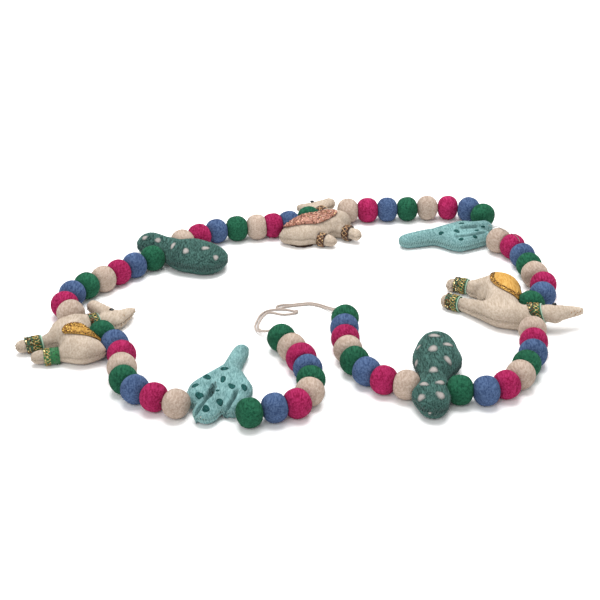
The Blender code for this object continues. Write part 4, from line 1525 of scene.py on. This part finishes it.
# %% Trim the blankets
TRIM_LIFT = BLANKET_LIFT + BLANKET_THICKNESS + 0.05

# Petals lie in rows that are an equal step apart, and each row has its share of the rim's count
ALL_ROUND = (0, 360)
PETALS_AT_RIM = 76
PETAL_ROWS = tuple((share, round(PETALS_AT_RIM * share), ALL_ROUND) for share in np.linspace(0.12, 0.97, 8))

# Trims: blanket, name, film, radius, rows of share, count and the angles in degrees that they fill,
# then how many are strewn, between which shares
TRIMS = (
    (
        "llama_1_blanket",
        "gold",
        ochre_film,
        0.62,
        ((0.95, 50, ALL_ROUND), (0.8, 34, (150, 360))),
        (90, 0.2, 0.95),
    ),
    (
        "llama_1_blanket",
        "brown",
        brown_film,
        0.6,
        ((0.99, 46, ALL_ROUND), (0.88, 34, (150, 360))),
        (70, 0.3, 0.97),
    ),
    ("llama_2_blanket", "coral", coral_satin, 1.25, PETAL_ROWS, (10, 0.1, 0.9)),
    ("llama_2_blanket", "gold", gold_film, 0.65, (), (110, 0.1, 0.98)),
    ("llama_2_blanket", "pearl", clear_film, 0.65, (), (90, 0.1, 0.98)),
    ("llama_2_blanket", "brown", brown_film, 0.85, ((0.985, 24, (190, 350)),), (64, 0.2, 0.98)),
    (
        "llama_3_blanket",
        "gold",
        ochre_film,
        0.5,
        ((0.96, 126, ALL_ROUND), (0.87, 62, (10, 200)), (0.79, 56, (20, 190))),
        (30, 0.75, 0.95),
    ),
    (
        "llama_3_blanket",
        "brown",
        brown_film,
        0.5,
        ((0.99, 130, ALL_ROUND), (0.915, 66, (10, 200)), (0.83, 58, (20, 190))),
        (20, 0.75, 0.97),
    ),
)
TRIM_PIECES = {name: [] for name in BLANKETS}
ROW_WANDER = 0.012
OUTERMOST_SHARE = 0.995


def trim_shares(rows, strewn, random):
    """Shares and angles of the strewn sequins, spread evenly over the cloth's area, and then of each
    row, which wanders a little."""
    count, least, most = strewn
    share = [np.sqrt(random.uniform(least**2, most**2, count))]
    angle = [random.uniform(0, 2 * math.pi, count)]
    for row_share, row_count, (first, last) in rows:
        share.append(row_share + random.normal(0, ROW_WANDER, row_count))
        angle.append(np.radians(np.linspace(first, last, row_count, endpoint=False)))
    return np.clip(np.concatenate(share), 0, OUTERMOST_SHARE), np.concatenate(angle)


for seed, (blanket, film_name, film, radius, rows, strewn) in enumerate(TRIMS):
    share, angle = trim_shares(rows, strewn, np.random.default_rng(200 + seed))
    places, outward = on_blanket(blanket, share, angle, TRIM_LIFT)
    places = clear_of_balls(places)
    name = f"{blanket}_{film_name}_sequins"
    slot = BLANKET_FELTS[blanket][1]
    TRIM_PIECES[blanket].append(sew_sequins(name, places, outward, radius, film, slot, seed))

# %% [markdown]
# Ribbons of tulle, thick with sequins, are sewn round the legs and necks. Each is a flat strip joined
# into a sleeve. Its formula is a rounded strip's section carried once round the limb's line.

# %% Sleeves of ribbon
SLEEVE_SIDES = 48
SLEEVE_CORNER = 0.35
SLEEVE_CROWN = 0.05
SLEEVE_WAVE = 0.12
LOWEST_RIBBON = 0.12


def limb_directions(along):
    """Two directions square to a limb: one level, and one up from it."""
    level = unit(np.cross((0.0, 0.0, 1.0), along))
    return level, np.cross(along, level)


def on_sleeve(ribbon, travel, angle, out):
    """Places round a ribbon: the limb's line at the given travel, plus the radius in the angle's
    direction. A slanted ribbon is moved along the limb by its slant times how high each place is.
    None goes below the table. The outward directions come too."""
    middle, along = limb_line(ribbon)
    level, upward = limb_directions(along)
    outward = np.cos(angle)[..., None] * level + np.sin(angle)[..., None] * upward
    travel = travel + ribbon.slant * out * np.sin(angle)
    places = middle + np.asarray(travel)[..., None] * along + np.asarray(out)[..., None] * outward
    places[..., 2] = np.maximum(places[..., 2], LOWEST_RIBBON)
    return places, outward


def sleeve_mesh(name, ribbon, start, end, inner, outer):
    """A strip's section, with its corners cut, carried round the limb, in slow waves."""
    cut = SLEEVE_CORNER
    section = np.array([
        (start, inner + cut),
        (start, outer - cut),
        (start + cut, outer),
        ((start + end) / 2, outer + SLEEVE_CROWN),
        (end - cut, outer),
        (end, outer - cut),
        (end, inner + cut),
        (end - cut, inner),
        (start + cut, inner),
    ])
    angle = full_turn(SLEEVE_SIDES)[None, :]
    travel = section[:, :1] + 0 * angle
    out = section[:, 1:] + SLEEVE_WAVE * np.sin(4 * angle + section[:, :1])
    places = on_sleeve(ribbon, travel, angle + 0 * travel, out)[0]
    return mesh_of(name, metres(places.reshape(-1, 3)), closed_both_ways(len(section), SLEEVE_SIDES))


# Kinds of ribbon: tulle, then bands along it, each with the shares of the length where it starts
# and ends, the film of its sequins, their radius and how many are kept. On a leg the ribbon
# starts at the body's side, and on a neck too
RIBBON_KINDS = {
    "gold": (
        green_tulle,
        (
            (0.1, 0.6, green_film, 0.75, 0.7),
            (0.5, 1.0, gold_film, 0.85, 0.6),
            (0.6, 1.0, brown_film, 0.8, 0.5),
        ),
    ),
    "green": (
        leaf_tulle,
        (
            (0.0, 0.56, leaf_film, 0.75, 0.8),
            (0.56, 1.0, gold_film, 0.8, 0.5),
            (0.56, 1.0, green_film, 0.8, 0.5),
        ),
    ),
    "brown": (
        brown_tulle,
        (
            (0.0, 1.0, brown_film, 0.8, 0.7),
            (0.0, 1.0, gold_film, 0.6, 0.12),
        ),
    ),
    "neck": (
        green_tulle,
        (
            (0.0, 0.4, gold_film, 0.85, 0.6),
            (0.0, 0.45, brown_film, 0.8, 0.5),
            (0.4, 0.9, green_film, 0.75, 0.7),
        ),
    ),
}
RIBBON_SLOTS = {
    "gold": "ribbon_gold_green",
    "green": "ribbon_green",
    "brown": "ribbon_brown_gold",
    "neck": "ribbon_gold_green",
}
# Braid on each kind: shares of the length between which it swings, how many waves, its thread
BRAIDS = {
    "gold": (0.15, 0.55, 8, gold_braid),
    "green": (0.6, 0.95, 7, gold_braid),
    "brown": (0.12, 0.88, 5, cream_braid),
    "neck": (0.45, 0.85, 8, gold_braid),
}
# Satin edges: shares of the length that they cover
SATIN_EDGES = {"gold": (0.0, 0.07), "neck": (0.93, 1.0)}

# %% [markdown]
# On the tulle go bands of sequins, two threads of braid that swing across it, and on some ribbons a
# bright satin edge. All of them are placed by travel along the limb and angle round it.

# %% Sequins, braid and satin on a ribbon
SEQUIN_PITCH = 1.9
SEQUIN_LIFT = 0.15
LOWEST_SEQUIN = 1.0
SATIN_REACH = 0.8
SATIN_LIFT = 0.3
BRAID_RADIUS = 0.26
BRAID_SIDES = 6
BRAID_LIFT = 0.35
STEPS_PER_WAVE = 12


def zigzag(ribbon, start, end, waves, phase):
    """A closed line that swings between two places along a limb while it goes round, and the
    outward direction at each place."""
    angle = full_turn(waves * STEPS_PER_WAVE)
    swing = 2 / math.pi * np.arcsin(np.sin(waves * angle + phase))
    travel = (start + end) / 2 + (end - start) / 2 * swing
    return on_sleeve(ribbon, travel, angle, np.full(len(angle), ribbon.outer + BRAID_LIFT))


def along_ribbon(ribbon, *shares):
    """Travel along the limb, from the ribbon's middle, at shares of the ribbon's length."""
    return [(share - 0.5) * ribbon.length for share in shares]


def ribbon_sequins(name, ribbon, seed, number, band):
    """One band of sequins: rows that are a pitch apart, each half a step on from the one before. A
    share of them is kept, and those that would come near the table are left out."""
    first, last, film, radius, share_kept = band
    start, end = along_ribbon(ribbon, first, last)
    rows = max(1, round((end - start) / SEQUIN_PITCH))
    around = round(2 * math.pi * ribbon.outer / SEQUIN_PITCH)
    step = np.arange(rows)[:, None]
    travel = start + (step + 0.5) * (end - start) / rows + np.zeros(around)
    angle = 2 * math.pi * (np.arange(around) + 0.5 * ((step + number) % 2)) / around
    random = np.random.default_rng(300 + 10 * seed + number)
    kept = random.uniform(size=travel.size) < share_kept
    travel, angle = travel.ravel()[kept], angle.ravel()[kept]
    places, outward = on_sleeve(ribbon, travel, angle, np.full(len(travel), ribbon.outer + SEQUIN_LIFT))
    above = places[:, 2] > LOWEST_SEQUIN
    places, outward = places[above], outward[above]
    slot = RIBBON_SLOTS[ribbon.kind]
    return sew_sequins(
        f"{name}_sequins_{number + 1}", places, outward, radius, film, slot, 10 * seed + number
    )


def ribbon_braid(name, ribbon, number, phase):
    """One of the two threads of braid that swing across a ribbon."""
    first, last, waves, braid = BRAIDS[ribbon.kind]
    line, outward = zigzag(ribbon, *along_ribbon(ribbon, first, last), waves, phase)
    mesh = closed_tube(f"{name}_braid_{number}", line, outward, BRAID_RADIUS, BRAID_SIDES)
    return add_piece(mesh, braid, RIBBON_SLOTS[ribbon.kind])


def satin_edge(name, ribbon):
    """The bright edge of a ribbon: a narrow sleeve that stands a little proud of the tulle."""
    start, end = along_ribbon(ribbon, *SATIN_EDGES[ribbon.kind])
    inner, outer = ribbon.outer - SATIN_REACH, ribbon.outer + SATIN_LIFT
    mesh = sleeve_mesh(name + "_satin_edge", ribbon, start, end, inner, outer)
    return add_piece(mesh, mint_satin, RIBBON_SLOTS[ribbon.kind])


# %% [markdown]
# Each ribbon is a sleeve of tulle with its edge, sequins and braid sewn on. It was cut from a flat strip:
# its width lies along the limb, and its length goes once round, halfway between the inside and the
# outside. One narrower than 10 mm is named in the log.

LEAST_SHEET_WIDTH = 10.0

for seed, (name, ribbon) in enumerate(RIBBONS.items()):
    tulle, bands = RIBBON_KINDS[ribbon.kind]
    ends = along_ribbon(ribbon, 0, 1)
    mesh = sleeve_mesh(name + "_tulle", ribbon, *ends, ribbon.inner, ribbon.outer)
    sleeve = add_piece(mesh, tulle, RIBBON_SLOTS[ribbon.kind], name)
    sewn = [satin_edge(name, ribbon)] if ribbon.kind in SATIN_EDGES else []
    sewn += [ribbon_sequins(name, ribbon, seed, number, band) for number, band in enumerate(bands)]
    sewn += [ribbon_braid(name, ribbon, number, phase) for number, phase in ((1, 0.0), (2, math.pi))]
    if ribbon.length < LEAST_SHEET_WIDTH:
        print(name, "is too narrow to be declared")
        continue
    llama = FIGURES[ribbon.llama].name

# %% [markdown]
# Under the second llama's belly the edge of its blanket shows: a narrow, scalloped band of dark
# brown sequins on the table. It is a flattened tube carried along an arc.

# %% The blanket's edge below the belly
HEM_MIDDLE, HEM_RADIUS = (2.0, 139.0), 14.8
HEM_FIRST, HEM_LAST = math.radians(-150), math.radians(-40)
HEM_WIDTH, HEM_SCALLOP, HEM_COUNT = 2.6, 0.8, 4
HEM_HEIGHT = 1.3
HEM_STEPS, HEM_SIDES = 64, 14
HEM_FLATNESS = 0.6
HEM_SEQUINS, HEM_SEQUIN_RADIUS, HEM_SEQUIN_LIFT = 22, 0.7, 0.05


def hem_places(share, across):
    """Places on the hem: an arc, plus across times half the width, which swells at each scallop."""
    angle = HEM_FIRST + (HEM_LAST - HEM_FIRST) * share
    bulge = HEM_SCALLOP * np.abs(np.sin(math.pi * HEM_COUNT * share))
    reach = HEM_RADIUS - HEM_WIDTH / 2 + across * HEM_WIDTH / 2 + np.maximum(across, 0) * bulge
    return np.stack(
        [HEM_MIDDLE[0] + reach * np.cos(angle), HEM_MIDDLE[1] + reach * np.sin(angle)], axis=-1
    )


def squared(wave):
    """A wave between minus one and one that stays near both for longer, by a power below one."""
    return np.sign(wave) * np.abs(wave) ** HEM_FLATNESS


def hem_band():
    """The band itself: a section with rounded corners, carried along the arc."""
    share = np.linspace(0.01, 0.99, HEM_STEPS)[:, None]
    angle = full_turn(HEM_SIDES)[None, :]
    plan = hem_places(share + 0 * angle, squared(np.cos(angle)) + 0 * share)
    height = HEM_HEIGHT / 2 * (1 + squared(np.sin(angle))) + 0 * share
    rings = metres(np.concatenate([plan, height[..., None]], axis=-1))
    return ringed_mesh("llama_2_blanket_hem_band", rings, rings[0].mean(0), rings[-1].mean(0))


def hem_sequins(film_name, film, across):
    """A row of sequins along the top of the band."""
    share = np.linspace(0.03, 0.97, HEM_SEQUINS)
    flat = hem_places(share + 0.01 * across, across + 0 * share)
    places = np.column_stack([flat, np.full(len(flat), HEM_HEIGHT + HEM_SEQUIN_LIFT)])
    upward = np.tile((0.0, 0.0, 1.0), (len(places), 1))
    name = f"llama_2_hem_{film_name}_sequins"
    return sew_sequins(name, places, upward, HEM_SEQUIN_RADIUS, film, "ribbon_brown_gold", 90)


hem = add_piece(hem_band(), brown_tulle, "ribbon_brown_gold", "llama_2_blanket_hem")
TRIM_PIECES["llama_2_blanket"] += [
    hem,
    hem_sequins("brown", brown_film, 0.35),
    hem_sequins("gold", gold_film, -0.2),
]

# %% [markdown]
# The area of each sheet is worked out, which is the size that it was cut to. Felt hardly stretches, so
# the cut's area is the area of the sheet as it lies, and its length and width keep the oval's shares.

for name, blanket in BLANKETS.items():
    area = sheet_area(BLANKET_PIECES[name].data)
    llama = FIGURES[name.removesuffix("_blanket")].name

# %% [markdown]
# The eyes are black glass beads. The solids say where they are, and each bead is a squeezed ball, half
# as large again because that is how large it shows, with a gloss that catches the lights.

# %% Bead eyes
BEAD_SWELL = np.array((1.5, 1.5, 1.4))
BEAD_LIFT = np.array((0.0, -0.2, 0.4)) * MM
BEAD_ROWS, BEAD_SIDES = 12, 24
SMEARS_PER_METRE = 1500.0


def black_glass():
    """Black glass: nearly no colour, a smooth surface, and the index of refraction of glass."""
    material, tree, place = start_material("polished_black_glass")
    smears = noise(tree, place, SMEARS_PER_METRE)
    tone = mixed(tree, smears, colour("050505"), colour("0E0C0C"))
    finish_material(
        tree, {"Base Color": tone, "Roughness": 0.22, "IOR": 1.52, "Specular IOR Level": 0.3}
    )
    return material


def bead_mesh(name, middle, half):
    """Rings of a ball, from pole to pole, times the half sizes, about the middle."""
    turn = np.linspace(0, math.pi, BEAD_ROWS + 2)[1:-1, None]
    around = full_turn(BEAD_SIDES)[None, :]
    round_form = np.stack(
        [np.sin(turn) * np.cos(around), np.sin(turn) * np.sin(around), np.cos(turn) + 0 * around],
        axis=-1,
    )
    top, bottom = middle + half * np.array([(0, 0, 1), (0, 0, -1)])
    return ringed_mesh(name, middle + half * round_form, top, bottom)


bead_glass = black_glass()
for llama in ("llama_1", "llama_2", "llama_3"):
    low, high = (np.array(corner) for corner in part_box(llama + "_eye"))
    middle, half = (low + high) / 2 + BEAD_LIFT, (high - low) / 2 * BEAD_SWELL
    mesh = bead_mesh(llama + "_eye_bead", middle, half)
    add_piece(mesh, bead_glass, "bead_black", llama + "_eye")
    print(mesh.name, "is", round(float(2 * half[0]) * 1000, 1), "mm wide")

# %% [markdown]
# A few last stitches show on their own: brown and gold ones where two ears are folded, dark ones that
# draw an arm of the first saguaro to its trunk, and three bright sequins at its foot. The brown and the
# dark stitches are partly painted shade: they darken the seams of the ears and the gap between the arm
# and the trunk. Each is placed by where it shows.

# %% Stitches that are partly painted shade, and glints
# Painted shade: the brown yarn darkens the seams of the ears, besides stitching them
ear_yarn_and_painted_shade = spun_cotton("brown_gold_yarn_and_painted_ear_shade", "A98358", "6E4E30")
# Painted shade: the dark teal yarn darkens the gap between the saguaro's arm and trunk, besides stitching
# it
gap_yarn_and_painted_shade = spun_cotton("deep_teal_yarn_and_painted_gap_shade", "2B4C4A", "142B2A")
STITCH_AND_SHADE_RADIUS = 0.3
STITCH_AND_SHADE_LIFT = 0.5
GLINT_RADIUS = 0.6
GLINT_LIFT = 0.3

# Stitches that are partly painted shade: yarn, half of their length, and where each shows in the picture
STITCHES_AND_PAINTED_SHADE = {
    "llama_1": (
        ear_yarn_and_painted_shade,
        1.1,
        ((124.2, 315.5), (126.2, 319.5), (125.0, 323), (129, 319), (121.5, 325)),
    ),
    "llama_3": (
        ear_yarn_and_painted_shade,
        1.1,
        ((571.5, 312.5), (574.5, 311), (577.5, 312.6), (580.5, 311.4), (575.5, 314.5)),
    ),
    "saguaro_1": (
        gap_yarn_and_painted_shade,
        2.2,
        (
            (215.5, 383.2),
            (213.2, 385.4),
            (216.6, 387),
            (211.4, 388.2),
            (214.4, 389.6),
            (209.6, 391),
            (212.4, 392.4),
            (208, 394),
        ),
    ),
}
GLINTS = ((201, 417), (203.4, 419.5), (199.5, 419))
for name, (yarn, half_length, pictured) in STITCHES_AND_PAINTED_SHADE.items():
    places, outward = seen_on(TREES[name], pictured)
    random = np.random.default_rng(70)
    along = unit(np.cross(outward, random.normal(size=outward.shape)))
    lines = places[:, None] + (STITCH_STEPS * half_length)[None, :, None] * along[:, None]
    lines = on_skin(lines, FIGURES[name], STITCH_AND_SHADE_RADIUS * STITCH_AND_SHADE_LIFT)
    mesh = thread_mesh(name + "_lone_stitches", lines, STITCH_AND_SHADE_RADIUS * STITCH_SHAPE, STITCH_SIDES)
    add_piece(mesh, yarn, FIGURE_FELTS[name][1])
    print(mesh.name, len(places), "stitches")
places, outward = seen_on(TREES["saguaro_1"], GLINTS)
places = places + GLINT_LIFT * outward
sew_sequins("saguaro_1_glints", places, outward, GLINT_RADIUS, clear_film, "felt_teal", 71)

# %% [markdown]
# A fine grey thread has come loose where the second saguaro was sewn, and lies over the next two
# balls. It is a cord like the twine, only thinner and of two plies.

# %% The loose thread
THREAD_DIAMETER = 0.5
THREAD_PLIES = 2
THREAD_TWIST = 2.0
THREAD_SIDES = 8
THREAD_SPACING = 0.5
THREAD_PLACES = (
    (188.5, 146.5, 14.2),
    (190.5, 139, 15.6),
    (191.8, 131, 19.2),
    (193.2, 124, 23.4),
    (196.5, 117, 24.9),
    (200.6, 111, 24.3),
    (204.6, 106, 24.9),
    (208.6, 101.5, 24.9),
    (211.2, 96.5, 23.3),
    (211.8, 93, 22.2),
)
line = metres(even_route(np.array(THREAD_PLACES), THREAD_SPACING))
mesh = twisted_tube(
    "loose_grey_thread", line, THREAD_DIAMETER * MM, THREAD_PLIES, THREAD_TWIST * MM, THREAD_SIDES
)
thread = add_piece(mesh, grey_thread, "cord_cotton")
print("loose thread", round(line_length(line) * 1000, 1), "mm")

# %% [markdown]
# Felt is never quite clean at its surface: fibres stand off it and blur its outline. Each is a thin
# curved spike. They are sown evenly over each skin: triangles are chosen by their area, a place in
# each at random, and the fibre leaves there at a low angle. Real ones are 0.03 mm thick, and
# these are 0.12 mm at the root, or they would not show at all.

# %% Stray fibres
FIBRE_SHARES = np.array((0.0, 0.5, 1.0))
FIBRE_RADII = (0.06, 0.045)
FIBRE_SIDES = 3
FIBRE_LENGTH = 2.2
FIBRE_BEND = 1.9
FIBRE_ROOT = 0.08
LOWEST_FIBRE = 0.1


def fibres_on(points, triangles, count, random):
    """Lines that start just under a skin and bend over: place, plus a mix of the outward and a
    random level direction that leans further over along the fibre."""
    a, b, c = (points[triangles[:, k]] for k in range(3))
    square = np.cross(b - a, c - a)
    area = np.linalg.norm(square, axis=1)
    chosen = random.choice(len(area), count, p=area / area.sum())
    u, v = random.uniform(size=(2, count, 1))
    u, v = np.where(u + v > 1, 1 - u, u), np.where(u + v > 1, 1 - v, v)
    root = a[chosen] + u * (b - a)[chosen] + v * (c - a)[chosen]
    outward = unit(square[chosen])
    sideways = unit(np.cross(outward, random.normal(size=outward.shape)))
    length = FIBRE_LENGTH * random.uniform(0.5, 1.2, (count, 1, 1))
    rise = random.uniform(0.2, 0.75, (count, 1, 1)) * np.sin(FIBRE_SHARES * FIBRE_BEND)[None, :, None]
    lines = root[:, None] + length * (
        rise * outward[:, None] + FIBRE_SHARES[None, :, None] * sideways[:, None]
    )
    lines[..., 2] = np.maximum(lines[..., 2], LOWEST_FIBRE)
    return lines - FIBRE_ROOT * outward[:, None]


# %% Sow the fibres
BALL_FIBRES = 120
FIGURE_FIBRES = 1300


def sow(name, pieces, count, seed, material, slot):
    """One mesh of the fibres on some pieces, the same count on each."""
    random = np.random.default_rng(seed)
    lines = []
    for piece in pieces:
        points, triangles = mesh_arrays(piece.data)
        lines.append(fibres_on(on_table(points), triangles, count, random))
    mesh = thread_mesh("fibres_on_" + name, np.vstack(lines), FIBRE_RADII, FIBRE_SIDES)
    add_piece(mesh, material, slot)
    print(mesh.name, len(mesh.polygons), "faces")


for number, felt in enumerate(BALL_ORDER):
    name = felt.removeprefix("felt_") + "_balls"
    balls = [ball for ball, dye in BALLS.values() if dye == felt]
    sow(name, balls, BALL_FIBRES, 500 + number, FELTS[felt], BALL_SLOTS[felt])
for number, (name, figure) in enumerate(FIGURES.items()):
    sow(name, [figure], FIGURE_FIBRES, 600 + number, *FIGURE_FELTS[name])

# %% [markdown]
# Plain floor, soft light from above and in front, and a white surround, as in a catalogue picture.

# %% Floor and lights
FLOOR_HALF = 8.0
FLOOR_DROP = 0.05 * MM
FLOOR_CORNERS = ((-1, -1), (1, -1), (1, 1), (-1, 1))
GRAINS_PER_METRE = 900.0
SURROUND_STRENGTH = 0.6


def paper_floor():
    """A sheet of white background paper: a faint grain, and no gloss."""
    material, tree, place = start_material("white_background_paper")
    grain = noise(tree, place, GRAINS_PER_METRE)
    tone = mixed(tree, grain, colour("FAFAFA"), colour("FFFFFF"))
    finish_material(tree, {"Base Color": tone, "Roughness": 0.9, "Specular IOR Level": 0.1})
    return material


corners = [(FLOOR_HALF * x, FLOOR_HALF * y, -FLOOR_DROP) for x, y in FLOOR_CORNERS]
floor_mesh = bpy.data.meshes.new("floor")
floor_mesh.from_pydata(corners, [], [(0, 1, 2, 3)])
floor_mesh.materials.append(paper_floor())
floor = new_object("floor", floor_mesh)

world = bpy.data.worlds.new("white_surround")
world.use_nodes = True
surround = world.node_tree.nodes["Background"]
surround.inputs["Color"].default_value = (1.0, 1.0, 1.0, 1.0)
surround.inputs["Strength"].default_value = SURROUND_STRENGTH
bpy.context.scene.world = world
bpy.context.scene.view_settings.view_transform = "Standard"

# Lights: x, y and height in metres, size, power
LIGHTS = {
    "overhead": ((0.0, 0.32, 1.3), 1.0, 25.0),
    "front": ((-0.9, -2.5, 2.3), 1.6, 36.0),
}
for name, (place, size, power) in LIGHTS.items():
    data = bpy.data.lights.new(name, "AREA")
    data.size = size
    data.energy = power
    lamp = new_object(name, data)
    lamp.location = place
    lamp.rotation_euler = (-Vector(place)).to_track_quat("-Z", "Y").to_euler()
print("lights", list(LIGHTS))
